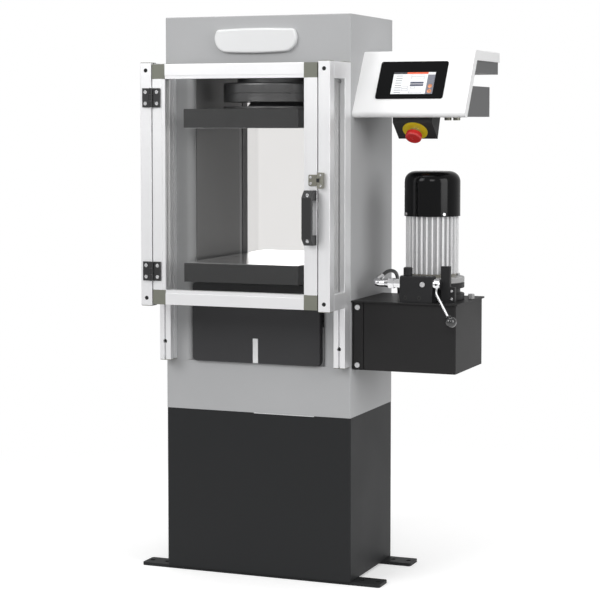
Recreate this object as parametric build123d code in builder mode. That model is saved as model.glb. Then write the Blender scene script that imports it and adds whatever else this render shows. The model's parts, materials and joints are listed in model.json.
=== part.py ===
from build123d import *
import math
import os

os.makedirs("parts", exist_ok=True)

# Compression testing machine in millimetres. The origin is the centre of the floor anchor holes, on the
# floor. +X is to the machine's right as the operator faces it, +Y to its rear, +Z up.

# Foot bars
foot_length = 650
foot_width = 60
foot_thickness = 8
foot_corner_radius = 6
anchor_span_x = 620
anchor_span_y = 240
level_span_x = 536
anchor_hole_d = 13

# Pedestal and frame
body_width = 500
body_depth = 310
pedestal_height = 409
pedestal_sheet = 3
pedestal_bend = 5
base_slab_height = 125
base_block_height = 96
base_recess = 12
column_width = 75
column_edge_radius = 18
crosshead_height = 145
frame_edge_radius = 3
liner_thickness = 2
liner_edge_gap = 20

# Ram
cylinder_side_gap = 42
cylinder_wall = 18
cylinder_floor = 40
cylinder_reach = 84.5
cylinder_sink = 150
ram_clearance = 0.05
ram_standout = 28
seal_groove_depth = 5
seal_height = 9
seal_drop = 14
spigot_d = 60
spigot_height = 6
fit_clearance = 0.1

# Platens and ball seat
platen_side_gap = 20.5
platen_overhang = 100
platen_height = 47.5
platen_edge = 2
daylight = 332
seat_margin = 7.5
seat_height = 86
segment_flange_height = 7
tilt_gap = 11.5
ball_radius = 100
ball_gap = 0.3
housing_groove_drop = 45
housing_groove = 2
housing_neck_step = 35
housing_neck_height = 19
housing_neck_radius = 6
seat_bolt_d = 20
seat_nut_d = 62
seat_nut_height = 22
washer_d = 68
washer_thickness = 10
washer_bore_d = 37
washer_dome_radius = 140
bolt_bore_d = 44
pocket_d = 106
pocket_depth = 55

# Front plate and apron
badge_width = 217
badge_height = 59
badge_thickness = 12
badge_drop = 34
badge_foot_width = 168
badge_edge_in = 6
badge_arch = 3
badge_corner = 8
badge_shoulder_rise = 26.5
badge_rim = 5
apron_standout = 10
apron_depth = 20
apron_sheet = 2
apron_corner = 12
apron_slot_width = 15
apron_slot_height = 63
apron_top_gap = 8
apron_bottom_rise = 0.5

# Guard of square aluminium bars
bar = 30
rear_bar_depth = 40
side_rail_height = 40
bar_edge_radius = 1.5
guard_reach = 143
guard_top_rise = 26
guard_bottom_drop = 57.5
rear_post_extra = 147
window_thickness = 4
window_bite = 6
glazing_gap = 0.2
slot_width = 8
slot_depth = 5
guard_screw_d = 6
guard_screw_head_d = 10
guard_screw_head_height = 6
guard_screw_length = 45
guard_screw_inset = 18
rear_screw_inset = 46
screw_core_gap = 0.1

# Rear guard
rear_guard_reach = 120
rear_guard_sheet = 4
rear_guard_flange = 15
rear_guard_bend = 12

# Door
door_side_gap = 2.5
door_end_gap = 3
door_depth = 25
stile_width = 34
door_rail_height = 36
bead_height = 8
bead_step = 1.5
corner_block_edge = 2
door_window_thickness = 5
hinge_height = 47
hinge_width = 47
leaf_thickness = 5
knuckle_d = 11
pin_d = 5
pin_gap = 0.05
pin_head_d = 8
pin_head_height = 1.2
knuckle_gap = 0.4
leaf_gap = 0.8
hinge_end_inset = 85
hinge_screw_spread = 28
hinge_screw_reach = 15.5
hinge_screw_d = 5
hinge_screw_head_d = 9
hinge_screw_head_height = 3
hinge_screw_length = 18
handle_length = 131
handle_width = 24
handle_standout = 38
handle_grip_depth = 12
handle_foot_length = 24
handle_chamfer = 16
handle_rise = 221.5
handle_offset = 4
handle_screw_inset = 12
handle_screw_seat = 25
handle_screw_length = 40
handle_edge_radius = 4
handle_screw_d = 6
handle_screw_head_d = 10
latch_height = 27
keeper_height = 38
latch_plate_thickness = 3
latch_plate_width = 21
latch_tongue_width = 13
latch_tongue_height = 12.4
latch_gap = 10
keeper_width = 15
keeper_inset = 1.5
keeper_depth = 12
keeper_slot_gap = 0.5

# Pump unit
tank_bracket_width = 30
bracket_sheet = 4
bracket_bend = 8
tank_width = 236
tank_depth = 228
tank_height = 166
tank_setback = 7
tank_drop = 212.5
tank_wall = 3
tank_bend = 4
lid_edge_radius = 3
lid_thickness = 4
lid_overhang = 5
bracket_bolt_d = 8
bracket_bolt_head_d = 13
bracket_bolt_length = 16
bracket_bolt_inset = 12
motor_inset = 140
motor_setback = 121
flange_d = 160
adaptor_foot_height = 16
adaptor_neck_d = 140
adaptor_neck_height = 14
adaptor_disc_height = 13
adaptor_bore_d = 96
motor_flange_height = 14
end_shield_d = 120
end_shield_height = 8
motor_core_d = 116
motor_body_height = 153.5
fin_count = 30
fin_thickness = 3.2
stator_bore_d = 78
fan_cover_d = 138
fan_cover_height = 110
fan_cover_radius = 26
fan_cover_sheet = 2
fan_cover_lap = 12
fan_cover_fit = 0.3
cover_hole_d = 8
cover_ring_radii = (24, 42)
cover_hole_counts = (8, 16)
cover_screw_d = 5
cover_screw_head_d = 8
cover_screw_head_height = 2.5
cover_screw_length = 8
cover_screw_angles = (-138, -48, 42, 132)
shaft_d = 19
shaft_gap = 0.05
rotor_d = 76
rotor_height = 96
coupling_d = 58
coupling_height = 26
fan_d = 116
fan_height = 30
fan_blades = 8
fan_disc = 3
fan_rise = 12
shaft_end_gap = 2
fan_hub_d = 40
pump_d = 92
pump_height = 96
pump_bore_depth = 24
pump_rim = 6
pump_edge_radius = 4

# Valve block, lever and hose
block_width = 83
block_depth = 33
block_height = 64
block_edge = 2
block_inset = 59.5
block_screw_inset = 15
block_screw_spacing = 35
block_screw_rise = 12
block_screw_d = 6
block_screw_head_d = 10
block_screw_length = 24
block_setback = 0
spindle_d = 12
spindle_gap = 0.05
spindle_depth = 20
spindle_rise = 45
hub_d = 26
hub_length = 16
hub_gap = 0.4
lever_lean = 35
lever_bend_start = 24
lever_bend_radius = 30
lever_drop = 102
lever_side = 52
lever_rod_d = 6.5
knob_d = 28
knob_collar_d = 14
knob_collar_reach = 15.5
knob_bore_depth = 18
relief_cap_d = 22
relief_cap_height = 21
relief_cap_inset = 16.5
column_foot_width = 35
column_foot_height = 38
column_post_width = 22.5
column_post_height = 88
column_thickness = 12
column_gap = 12
adapter_flats = 20
adapter_length = 18
nut_flats = 24
nut_length = 14
cone_length = 10
elbow_d = 19
elbow_radius = 11.5
elbow_rise = 15
elbow_reach = 25
port_stand = 28
port_inset = 22
port_drop = 75
port_nut = 9
hose_d = 9
hose_bend_share = 0.45
hose_lead = 46
hose_tail = 30
ferrule_d = 14
ferrule_length = 22
port_flats = 24
filler_d = 17
filler_height = 12
filler_neck_d = 10
filler_neck_length = 12
filler_inset = 13
filler_setback = 165

# Console
console_width = 286
console_height = 163
console_lean = 30.5
console_sink = 107.5
console_front = 1
console_sheet = 2
console_fit = 0.3
console_bend = 10
console_flange = 24
rail_box_height = 52
rail_box_inset = 7
lower_box_height = 76
lower_box_depth = 228
screen_width = 172
screen_height = 106
screen_thickness = 2.5
screen_radius = 6
screen_inset_x = 52
screen_foot = 52

# Stop button
stop_box_width = 100
stop_box_lip = 12
stop_face = 62
stop_angle = 50
stop_box_setback = 42
stop_box_lean = 21
stop_disc_d = 62
stop_disc_thickness = 1.5
stop_neck_d = 27
stop_head_rise = 10.6
stop_travel = 4
stop_tip_d = 12
stop_tip_length = 8
stop_head_d = 40
stop_head_height = 13
stop_head_dome = 4
stop_head_gap = 0.3
stop_gap = 0.1
stop_bore_depth = 24

# Heights and planes that follow from the sizes above
pedestal_top = foot_thickness + pedestal_height
slab_top = pedestal_top + base_slab_height
block_top = slab_top + base_block_height
cylinder_top = block_top + cylinder_reach
lower_platen_z = cylinder_top + ram_standout
lower_platen_top = lower_platen_z + platen_height
upper_platen_z = lower_platen_top + daylight
upper_platen_top = upper_platen_z + platen_height
crosshead_z = upper_platen_top + seat_height
body_top = crosshead_z + crosshead_height
side_x = body_width / 2
front_y = -body_depth / 2
rear_y = body_depth / 2
opening_half = side_x - column_width
bore_d = 2 * (opening_half - cylinder_side_gap - cylinder_wall)
platen_width = 2 * (opening_half - liner_thickness - platen_side_gap)
platen_length = body_depth + 2 * platen_overhang
seat_d = platen_width - 2 * seat_margin
housing_neck_d = seat_d - 2 * housing_neck_step
guard_top = crosshead_z + guard_top_rise
guard_bottom = lower_platen_z - guard_bottom_drop
guard_front = front_y - guard_reach


def front_plane(y):
    """Sketch plane facing the operator: local X to the right, local Y up, extruding towards -Y."""
    return Plane.XZ.offset(-y)


def side_plane(x):
    """Sketch plane facing +X: local X to the rear, local Y up."""
    return Plane.YZ.offset(x)


def save(part, label):
    part.label = label
    export_step(part, f"parts/{label}.step")


def socket_screw(shank_d, head_d, head_height, length):
    """Socket screw along +Z, its head above Z = 0 and its shank below."""
    with BuildPart() as screw:
        Cylinder(head_d / 2, head_height, align=(Align.CENTER, Align.CENTER, Align.MIN))
        fillet(screw.edges().group_by(Axis.Z)[-1], head_height / 8)
        Cylinder(shank_d / 2, length, align=(Align.CENTER, Align.CENTER, Align.MAX))
        with BuildSketch(Plane.XY.offset(head_height)):
            RegularPolygon(shank_d * 0.45, 6)
        extrude(amount=-head_height / 2, mode=Mode.SUBTRACT)
    return screw.part


facing_front = (90, 0, 0)


# Foot bars with outer anchor holes and inner levelling holes
foot_places = [(0, -anchor_span_y / 2), (0, anchor_span_y / 2)]
with BuildPart() as foot_bars:
    with BuildSketch():
        with Locations(*foot_places):
            RectangleRounded(foot_length, foot_width, foot_corner_radius)
            with Locations((-anchor_span_x / 2, 0), (anchor_span_x / 2, 0)):
                Circle(anchor_hole_d / 2, mode=Mode.SUBTRACT)
            with Locations((-level_span_x / 2, 0), (level_span_x / 2, 0)):
                Circle(anchor_hole_d / 2, mode=Mode.SUBTRACT)
    extrude(amount=foot_thickness)
save(foot_bars.part, "foot_bars")

# Pedestal cabinet, folded sheet closed all round
with BuildPart() as pedestal_cabinet:
    with BuildSketch(Plane.XY.offset(foot_thickness)):
        RectangleRounded(body_width, body_depth, pedestal_bend)
    extrude(amount=pedestal_height)
    with BuildSketch(Plane.XY.offset(foot_thickness + pedestal_sheet)):
        RectangleRounded(
            body_width - 2 * pedestal_sheet, body_depth - 2 * pedestal_sheet, pedestal_bend - pedestal_sheet
        )
    extrude(amount=pedestal_height - 2 * pedestal_sheet, mode=Mode.SUBTRACT)
save(pedestal_cabinet.part, "pedestal_cabinet")

# Base block: a slab as wide as the body, and a narrower block between the columns with the cylinder bore
cylinder_d = bore_d + 2 * cylinder_wall
with BuildPart() as base_block:
    with BuildSketch(Plane.XY.offset(pedestal_top)):
        RectangleRounded(body_width, body_depth, frame_edge_radius)
    extrude(amount=base_slab_height)
    with BuildSketch(Plane.XY.offset(slab_top)):
        with Locations((0, base_recess / 2)):
            Rectangle(2 * opening_half, body_depth - base_recess)
    extrude(amount=base_block_height)
    with BuildSketch(Plane.XY.offset(block_top)):
        Circle(cylinder_d / 2 + fit_clearance)
    extrude(amount=-cylinder_sink, mode=Mode.SUBTRACT)
save(base_block.part, "base_block")

# Side columns with a rounded inner front edge
rear_screw_z = (guard_bottom - rear_post_extra + rear_screw_inset, guard_top - rear_screw_inset)
column_height = crosshead_z - slab_top


def column_sketch(sign):
    with BuildSketch(Plane.XY.offset(slab_top)) as sketch:
        with Locations((sign * (side_x - column_width / 2), 0)):
            Rectangle(column_width, body_depth)
        inner = sketch.vertices().sort_by(Axis.X)[:2] if sign > 0 else sketch.vertices().sort_by(Axis.X)[-2:]
        fillet(inner.sort_by(Axis.Y)[0], column_edge_radius)
        outer = sketch.vertices().sort_by(Axis.X)[-2:] if sign > 0 else sketch.vertices().sort_by(Axis.X)[:2]
        fillet(outer, frame_edge_radius)
    return sketch.sketch


rear_screw_seat = window_bite + 2 * glazing_gap + guard_screw_head_height
rear_screw_reach = guard_screw_length - rear_bar_depth + rear_screw_seat + screw_core_gap
with BuildPart() as left_column:
    add(column_sketch(-1))
    extrude(amount=column_height)
    with BuildSketch(front_plane(front_y)):
        with Locations(*[(-side_x + bar / 2, z) for z in rear_screw_z]):
            Circle(guard_screw_d / 2 + screw_core_gap)
    extrude(amount=-rear_screw_reach, mode=Mode.SUBTRACT)
save(left_column.part, "left_column")

with BuildPart() as right_column:
    add(column_sketch(1))
    extrude(amount=column_height)
    with BuildSketch(front_plane(front_y)):
        with Locations(*[(side_x - bar / 2, z) for z in rear_screw_z]):
            Circle(guard_screw_d / 2 + screw_core_gap)
    extrude(amount=-rear_screw_reach, mode=Mode.SUBTRACT)
save(right_column.part, "right_column")

# Crosshead with the pocket for the seat bolt in its underside
with BuildPart() as crosshead:
    with BuildSketch(Plane.XY.offset(crosshead_z)):
        RectangleRounded(body_width, body_depth, frame_edge_radius)
    extrude(amount=crosshead_height)
    chamfer(crosshead.edges().group_by(Axis.Z)[-1], frame_edge_radius / 2)
    with BuildSketch(Plane.XY.offset(crosshead_z)):
        Circle(pocket_d / 2)
    extrude(amount=pocket_depth, mode=Mode.SUBTRACT)
save(crosshead.part, "crosshead")

# Dark liner plates on the inner faces of the columns
liner_depth = body_depth - 2 * liner_edge_gap
with BuildPart() as chamber_liners:
    with BuildSketch(Plane.XY.offset(block_top)):
        with Locations(
            (-opening_half + liner_thickness / 2, 0), (opening_half - liner_thickness / 2, 0)
        ):
            Rectangle(liner_thickness, liner_depth)
    extrude(amount=crosshead_z - block_top)
save(chamber_liners.part, "chamber_liners")

# Front plate: straight top, sides that swell out and large lower corners, on a domed face
badge_top = body_top - badge_drop
badge_low = badge_top - badge_height
with BuildPart() as front_badge:
    with BuildSketch(front_plane(front_y)) as badge_sketch:
        with BuildLine():
            top = ThreePointArc(
                (-badge_width / 2 + badge_edge_in, badge_top),
                (0, badge_top + badge_arch),
                (badge_width / 2 - badge_edge_in, badge_top),
            )
            right = ThreePointArc(
                top @ 1,
                (badge_width / 2, badge_low + badge_shoulder_rise),
                (badge_foot_width / 2, badge_low + badge_arch),
            )
            low = ThreePointArc(right @ 1, (0, badge_low), (-badge_foot_width / 2, badge_low + badge_arch))
            ThreePointArc(low @ 1, (-badge_width / 2, badge_low + badge_shoulder_rise), top @ 0)
        make_face()
        fillet(badge_sketch.vertices(), badge_corner)
    extrude(amount=badge_thickness)
    fillet(front_badge.faces().sort_by(Axis.Y)[0].edges(), badge_rim)
save(front_badge.part, "front_badge")

# Apron cover, a shallow tray with a slot in its lower edge
apron_low = slab_top + apron_bottom_rise
apron_top = lower_platen_z - apron_top_gap
apron_width = 2 * opening_half - 2 * liner_thickness
apron_front = front_y - apron_standout
with BuildPart() as apron_cover:
    with BuildSketch(front_plane(apron_front)):
        with Locations((0, (apron_low + apron_top) / 2)):
            RectangleRounded(apron_width, apron_top - apron_low, apron_corner)
    extrude(amount=-apron_depth)
    fillet(apron_cover.faces().sort_by(Axis.Y)[0].edges(), apron_sheet)
    with BuildSketch(front_plane(apron_front + apron_sheet)):
        with Locations((0, (apron_low + apron_top) / 2)):
            RectangleRounded(
                apron_width - 2 * apron_sheet, apron_top - apron_low - 2 * apron_sheet, apron_corner - apron_sheet
            )
    extrude(amount=-apron_depth, mode=Mode.SUBTRACT)
    with BuildSketch(front_plane(apron_front)):
        with Locations((0, apron_low + apron_slot_height / 2)):
            Rectangle(apron_slot_width, apron_slot_height)
    extrude(amount=-apron_depth, mode=Mode.SUBTRACT)
save(apron_cover.part, "apron_cover")

# Cylinder sunk in the base block, with the rod seal groove near its mouth
cylinder_z = block_top - cylinder_sink
piston_z = cylinder_z + cylinder_floor
seal_z = cylinder_top - seal_drop - seal_height
with BuildPart() as cylinder:
    with BuildSketch(Plane.XZ):
        with BuildLine():
            Polyline(
                (0, cylinder_z),
                (cylinder_d / 2, cylinder_z),
                (cylinder_d / 2, cylinder_top),
                (bore_d / 2, cylinder_top),
                (bore_d / 2, seal_z + seal_height),
                (bore_d / 2 + seal_groove_depth, seal_z + seal_height),
                (bore_d / 2 + seal_groove_depth, seal_z),
                (bore_d / 2, seal_z),
                (bore_d / 2, piston_z),
                (0, piston_z),
                close=True,
            )
        make_face()
    revolve(axis=Axis.Z)
save(cylinder.part, "cylinder")

# Rod seal ring in its groove
with BuildPart() as piston_seal:
    with BuildSketch(Plane.XY.offset(seal_z)):
        Circle(bore_d / 2 + seal_groove_depth - fit_clearance)
        Circle(bore_d / 2, mode=Mode.SUBTRACT)
    extrude(amount=seal_height - fit_clearance)
save(piston_seal.part, "piston_seal")

# Piston with the centring spigot on its head
with BuildPart() as piston:
    with BuildSketch(Plane.XY.offset(piston_z)):
        Circle(bore_d / 2 - ram_clearance)
    extrude(amount=lower_platen_z - piston_z)
    with BuildSketch(Plane.XY.offset(lower_platen_z)):
        Circle(spigot_d / 2)
    extrude(amount=spigot_height)
    chamfer(piston.edges().group_by(Axis.Z)[-1], spigot_height / 6)
save(piston.part, "piston")

# Lower platen, ground steel block centred on the spigot
with BuildPart() as lower_platen:
    with BuildSketch(Plane.XY.offset(lower_platen_z)):
        Rectangle(platen_width, platen_length)
    extrude(amount=platen_height)
    chamfer(lower_platen.edges().group_by(Axis.Z)[-1], platen_edge)
    with BuildSketch(Plane.XY.offset(lower_platen_z)):
        Circle(spigot_d / 2 + fit_clearance)
    extrude(amount=spigot_height + fit_clearance, mode=Mode.SUBTRACT)
save(lower_platen.part, "lower_platen")

# Ball seat: every bearing surface is a sphere about the centre of the upper platen's working face
seat_centre = upper_platen_z
flange_top = upper_platen_top + segment_flange_height
housing_z = flange_top + tilt_gap


def sphere_rise(radius, x):
    """Height above the seat centre of a sphere of this radius, at a distance x from the axis."""
    return seat_centre + math.sqrt(radius**2 - x**2)


ball_foot = math.sqrt(ball_radius**2 - (flange_top - seat_centre) ** 2)
bolt_r = seat_bolt_d / 2
with BuildPart() as ball_segment:
    with BuildSketch(Plane.XZ):
        with BuildLine():
            Polyline(
                (bolt_r, upper_platen_top),
                (seat_d / 2 - platen_edge, upper_platen_top),
                (seat_d / 2, upper_platen_top + platen_edge),
                (seat_d / 2, flange_top),
                (ball_foot, flange_top),
            )
            ThreePointArc(
                (ball_foot, flange_top),
                ((ball_foot + bolt_r) / 2, sphere_rise(ball_radius, (ball_foot + bolt_r) / 2)),
                (bolt_r, sphere_rise(ball_radius, bolt_r)),
            )
            Line((bolt_r, sphere_rise(ball_radius, bolt_r)), (bolt_r, upper_platen_top))
        make_face()
    revolve(axis=Axis.Z)
save(ball_segment.part, "ball_segment")

# Seat housing under the crosshead, with the concave seat below and the washer dome above
cup_radius = ball_radius + ball_gap
cup_mouth = math.sqrt(cup_radius**2 - (housing_z - seat_centre) ** 2)
dome_foot = math.sqrt(washer_dome_radius**2 - (crosshead_z - seat_centre) ** 2)
housing_bore = bolt_bore_d / 2
neck_z = crosshead_z - housing_neck_height
groove_z = crosshead_z - housing_groove_drop
with BuildPart() as seat_housing:
    with BuildSketch(Plane.XZ):
        with BuildLine():
            Polyline(
                (cup_mouth, housing_z),
                (seat_d / 2, housing_z),
                (seat_d / 2, groove_z - housing_groove),
                (seat_d / 2 - housing_groove, groove_z - housing_groove),
                (seat_d / 2 - housing_groove, groove_z),
                (seat_d / 2, groove_z),
                (seat_d / 2, neck_z),
                (housing_neck_d / 2, neck_z),
                (housing_neck_d / 2, crosshead_z),
                (dome_foot, crosshead_z),
            )
            ThreePointArc(
                (dome_foot, crosshead_z),
                (
                    (dome_foot + housing_bore) / 2,
                    sphere_rise(washer_dome_radius, (dome_foot + housing_bore) / 2),
                ),
                (housing_bore, sphere_rise(washer_dome_radius, housing_bore)),
            )
            Line(
                (housing_bore, sphere_rise(washer_dome_radius, housing_bore)),
                (housing_bore, sphere_rise(cup_radius, housing_bore)),
            )
            ThreePointArc(
                (housing_bore, sphere_rise(cup_radius, housing_bore)),
                (
                    (cup_mouth + housing_bore) / 2,
                    sphere_rise(cup_radius, (cup_mouth + housing_bore) / 2),
                ),
                (cup_mouth, housing_z),
            )
        make_face()
    revolve(axis=Axis.Z)
    fillet(
        seat_housing.edges().filter_by(GeomType.CIRCLE).filter_by(
            lambda e: abs(e.center().Z - neck_z) < 0.01 and abs(e.radius - seat_d / 2) < 0.01
        ),
        housing_neck_radius,
    )
save(seat_housing.part, "seat_housing")

# Spherical washer between the housing and the bolt's nut
washer_low = washer_dome_radius + ball_gap
washer_high = washer_low + washer_thickness
washer_bore = washer_bore_d / 2
washer_edge = washer_d / 2
with BuildPart() as seat_washer:
    with BuildSketch(Plane.XZ):
        with BuildLine():
            ThreePointArc(
                (washer_bore, sphere_rise(washer_low, washer_bore)),
                ((washer_bore + washer_edge) / 2, sphere_rise(washer_low, (washer_bore + washer_edge) / 2)),
                (washer_edge, sphere_rise(washer_low, washer_edge)),
            )
            Line(
                (washer_edge, sphere_rise(washer_low, washer_edge)),
                (washer_edge, sphere_rise(washer_high, washer_edge)),
            )
            ThreePointArc(
                (washer_edge, sphere_rise(washer_high, washer_edge)),
                ((washer_bore + washer_edge) / 2, sphere_rise(washer_high, (washer_bore + washer_edge) / 2)),
                (washer_bore, sphere_rise(washer_high, washer_bore)),
            )
            Line(
                (washer_bore, sphere_rise(washer_high, washer_bore)),
                (washer_bore, sphere_rise(washer_low, washer_bore)),
            )
        make_face()
    revolve(axis=Axis.Z)
save(seat_washer.part, "seat_washer")

# Seat bolt: a shank through the ball segment and a nut with a spherical underside
nut_low = washer_high + ball_gap
nut_edge = seat_nut_d / 2
nut_top = sphere_rise(nut_low, nut_edge) + seat_nut_height
with BuildPart() as seat_bolt:
    with BuildSketch(Plane.XZ):
        with BuildLine():
            Polyline(
                (0, upper_platen_top),
                (bolt_r, upper_platen_top),
                (bolt_r, sphere_rise(nut_low, bolt_r)),
            )
            ThreePointArc(
                (bolt_r, sphere_rise(nut_low, bolt_r)),
                ((bolt_r + nut_edge) / 2, sphere_rise(nut_low, (bolt_r + nut_edge) / 2)),
                (nut_edge, sphere_rise(nut_low, nut_edge)),
            )
            Polyline(
                (nut_edge, sphere_rise(nut_low, nut_edge)),
                (nut_edge, nut_top),
                (0, nut_top),
                (0, upper_platen_top),
            )
        make_face()
    revolve(axis=Axis.Z)
save(seat_bolt.part, "seat_bolt")

# Upper platen
with BuildPart() as upper_platen:
    with BuildSketch(Plane.XY.offset(upper_platen_z)):
        Rectangle(platen_width, platen_length)
    extrude(amount=platen_height)
    chamfer(upper_platen.edges().group_by(Axis.Z)[0], platen_edge)
save(upper_platen.part, "upper_platen")

# Guard posts and rails, with a glazing groove towards the side window and T-slot lips on hidden faces
post_x = side_x - bar / 2
front_post_y = guard_front + bar / 2
rear_post_y = front_y - rear_bar_depth / 2
front_screw_z = (guard_bottom + guard_screw_inset, guard_top - guard_screw_inset)
window_groove = window_thickness + 2 * glazing_gap
window_run = 2 * (window_bite + glazing_gap)
rear_post_z = guard_bottom - rear_post_extra
door_left = -side_x + bar + door_side_gap
door_right = -door_left
door_low = guard_bottom + door_end_gap
door_high = guard_top - door_end_gap
hinge_x = door_left - door_side_gap / 2
hinge_y = guard_front - knuckle_d / 2 - knuckle_gap
hinge_z = (guard_bottom + hinge_end_inset, guard_top - hinge_end_inset)
hinge_screw_z = [z + half * hinge_screw_spread / 2 for z in hinge_z for half in (-1, 1)]
hinge_hole_r = hinge_screw_d / 2 + screw_core_gap
post_leaf_holes = [(hinge_x - hinge_screw_reach, z, hinge_hole_r) for z in hinge_screw_z]
door_leaf_holes = [(hinge_x + hinge_screw_reach, z, hinge_hole_r) for z in hinge_screw_z]


def cut_slot(x, y, width, depth, turned=False):
    """Cut a groove centred on a bar's face in the sketch that is being drawn."""
    with Locations((x, y)):
        if turned:
            Rectangle(depth * 2, width, mode=Mode.SUBTRACT)
        else:
            Rectangle(width, depth * 2, mode=Mode.SUBTRACT)


def front_post(sign, face_holes):
    """Front post on one side, with screw holes in its face at the given places."""
    inner_x = sign * (post_x - bar / 2)
    with BuildPart() as post:
        with BuildSketch(Plane.XY.offset(guard_bottom)) as section:
            with Locations((sign * post_x, front_post_y)):
                Rectangle(bar, bar)
            fillet(section.vertices(), bar_edge_radius)
            cut_slot(sign * post_x, front_post_y + bar / 2, window_groove, window_run / 2)
            cut_slot(inner_x, front_post_y, slot_width, slot_depth, turned=True)
        extrude(amount=guard_top - guard_bottom)
        with BuildSketch(front_plane(guard_front)):
            with Locations(*[(sign * post_x, z) for z in front_screw_z]):
                Circle(guard_screw_head_d / 2 + screw_core_gap)
        extrude(amount=-guard_screw_head_height, mode=Mode.SUBTRACT)
        with BuildSketch(front_plane(guard_front)):
            with Locations(*[(sign * post_x, z) for z in front_screw_z]):
                Circle(guard_screw_d / 2 + screw_core_gap)
        extrude(amount=-bar, mode=Mode.SUBTRACT)
        for x, z, radius in face_holes:
            with BuildSketch(front_plane(guard_front)):
                with Locations((x, z)):
                    Circle(radius)
            extrude(amount=-hinge_screw_length, mode=Mode.SUBTRACT)
    return post.part


left_hinge_post = front_post(-1, post_leaf_holes)
save(left_hinge_post, "left_hinge_post")
right_latch_post = front_post(1, [])
save(right_latch_post, "right_latch_post")

with BuildPart() as rear_posts:
    with BuildSketch(Plane.XY.offset(rear_post_z)) as section:
        with Locations((-post_x, rear_post_y), (post_x, rear_post_y)):
            Rectangle(bar, rear_bar_depth)
        fillet(section.vertices(), bar_edge_radius)
        for sign in (-1, 1):
            cut_slot(sign * post_x, front_y - rear_bar_depth, window_groove, window_run / 2)
            cut_slot(sign * (post_x - bar / 2), rear_post_y, slot_width, slot_depth, turned=True)
    extrude(amount=guard_top - rear_post_z)
    rear_screw_places = [(sign * post_x, z) for sign in (-1, 1) for z in rear_screw_z]
    with BuildSketch(front_plane(front_y - rear_bar_depth)):
        with Locations(*rear_screw_places):
            Circle(guard_screw_head_d / 2 + screw_core_gap)
    extrude(amount=-rear_screw_seat, mode=Mode.SUBTRACT)
    with BuildSketch(front_plane(front_y - rear_bar_depth)):
        with Locations(*rear_screw_places):
            Circle(guard_screw_d / 2 + screw_core_gap)
    extrude(amount=-rear_bar_depth, mode=Mode.SUBTRACT)
save(rear_posts.part, "rear_posts")

# Side rails between the front and rear posts
rail_front = guard_front + bar
rail_rear = front_y - rear_bar_depth
rail_length = rail_rear - rail_front
rail_low_z = guard_bottom + side_rail_height / 2
rail_high_z = guard_top - side_rail_height / 2
with BuildPart() as side_rails:
    with BuildSketch(front_plane(rail_rear)) as section:
        with Locations(*[(sign * post_x, z) for sign in (-1, 1) for z in (rail_low_z, rail_high_z)]):
            Rectangle(bar, side_rail_height)
        fillet(section.vertices(), bar_edge_radius)
        for sign in (-1, 1):
            cut_slot(sign * post_x, guard_bottom + side_rail_height, window_groove, window_run / 2)
            cut_slot(sign * post_x, guard_top - side_rail_height, window_groove, window_run / 2)
            for z in (rail_low_z, rail_high_z):
                cut_slot(sign * (post_x - bar / 2), z, slot_width, slot_depth, turned=True)
    extrude(amount=rail_length)
    with BuildSketch(front_plane(rail_front)):
        with Locations(*[(sign * post_x, z) for sign in (-1, 1) for z in front_screw_z]):
            Circle(guard_screw_d / 2 + screw_core_gap)
    extrude(amount=-guard_screw_length, mode=Mode.SUBTRACT)
save(side_rails.part, "side_rails")

# Side windows seated in the grooves
side_window_length = rail_length + 2 * window_bite
side_window_height = guard_top - guard_bottom - 2 * side_rail_height + 2 * window_bite
with BuildPart() as side_windows:
    for sign in (-1, 1):
        with Locations((sign * post_x, (rail_front + rail_rear) / 2, (guard_top + guard_bottom) / 2)):
            Box(window_thickness, side_window_length, side_window_height)
save(side_windows.part, "side_windows")

# Clear rear guard, one sheet folded round the back of the platens and screwed to the columns
rear_guard_half = opening_half + liner_thickness
rear_guard_y = rear_y + rear_guard_reach
rear_guard_screw_x = rear_guard_half + rear_guard_flange / 2 + rear_guard_sheet / 2
rear_guard_screw_z = (guard_bottom + rear_screw_inset, (guard_bottom + guard_top) / 2, guard_top - rear_screw_inset)
rear_guard_screws = [(sign * rear_guard_screw_x, z) for sign in (-1, 1) for z in rear_guard_screw_z]
with BuildPart() as rear_guard:
    with BuildSketch(Plane.XY.offset(guard_bottom)) as section:
        with Locations((0, rear_y + rear_guard_reach / 2)):
            Rectangle(2 * rear_guard_half, rear_guard_reach)
        fillet(section.vertices().sort_by(Axis.Y)[-2:], rear_guard_bend)
        with Locations((0, rear_y + rear_guard_sheet / 2)):
            Rectangle(2 * (rear_guard_half + rear_guard_flange), rear_guard_sheet)
        with BuildSketch(mode=Mode.SUBTRACT) as inside:
            with Locations((0, rear_y + (rear_guard_reach - rear_guard_sheet) / 2)):
                Rectangle(2 * (rear_guard_half - rear_guard_sheet), rear_guard_reach - rear_guard_sheet)
            fillet(inside.vertices().sort_by(Axis.Y)[-2:], rear_guard_bend - rear_guard_sheet)
    extrude(amount=guard_top - guard_bottom)
    with BuildSketch(front_plane(rear_y)):
        with Locations(*rear_guard_screws):
            Circle(hinge_hole_r)
    extrude(amount=-rear_guard_sheet, mode=Mode.SUBTRACT)
save(rear_guard.part, "rear_guard")

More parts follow.
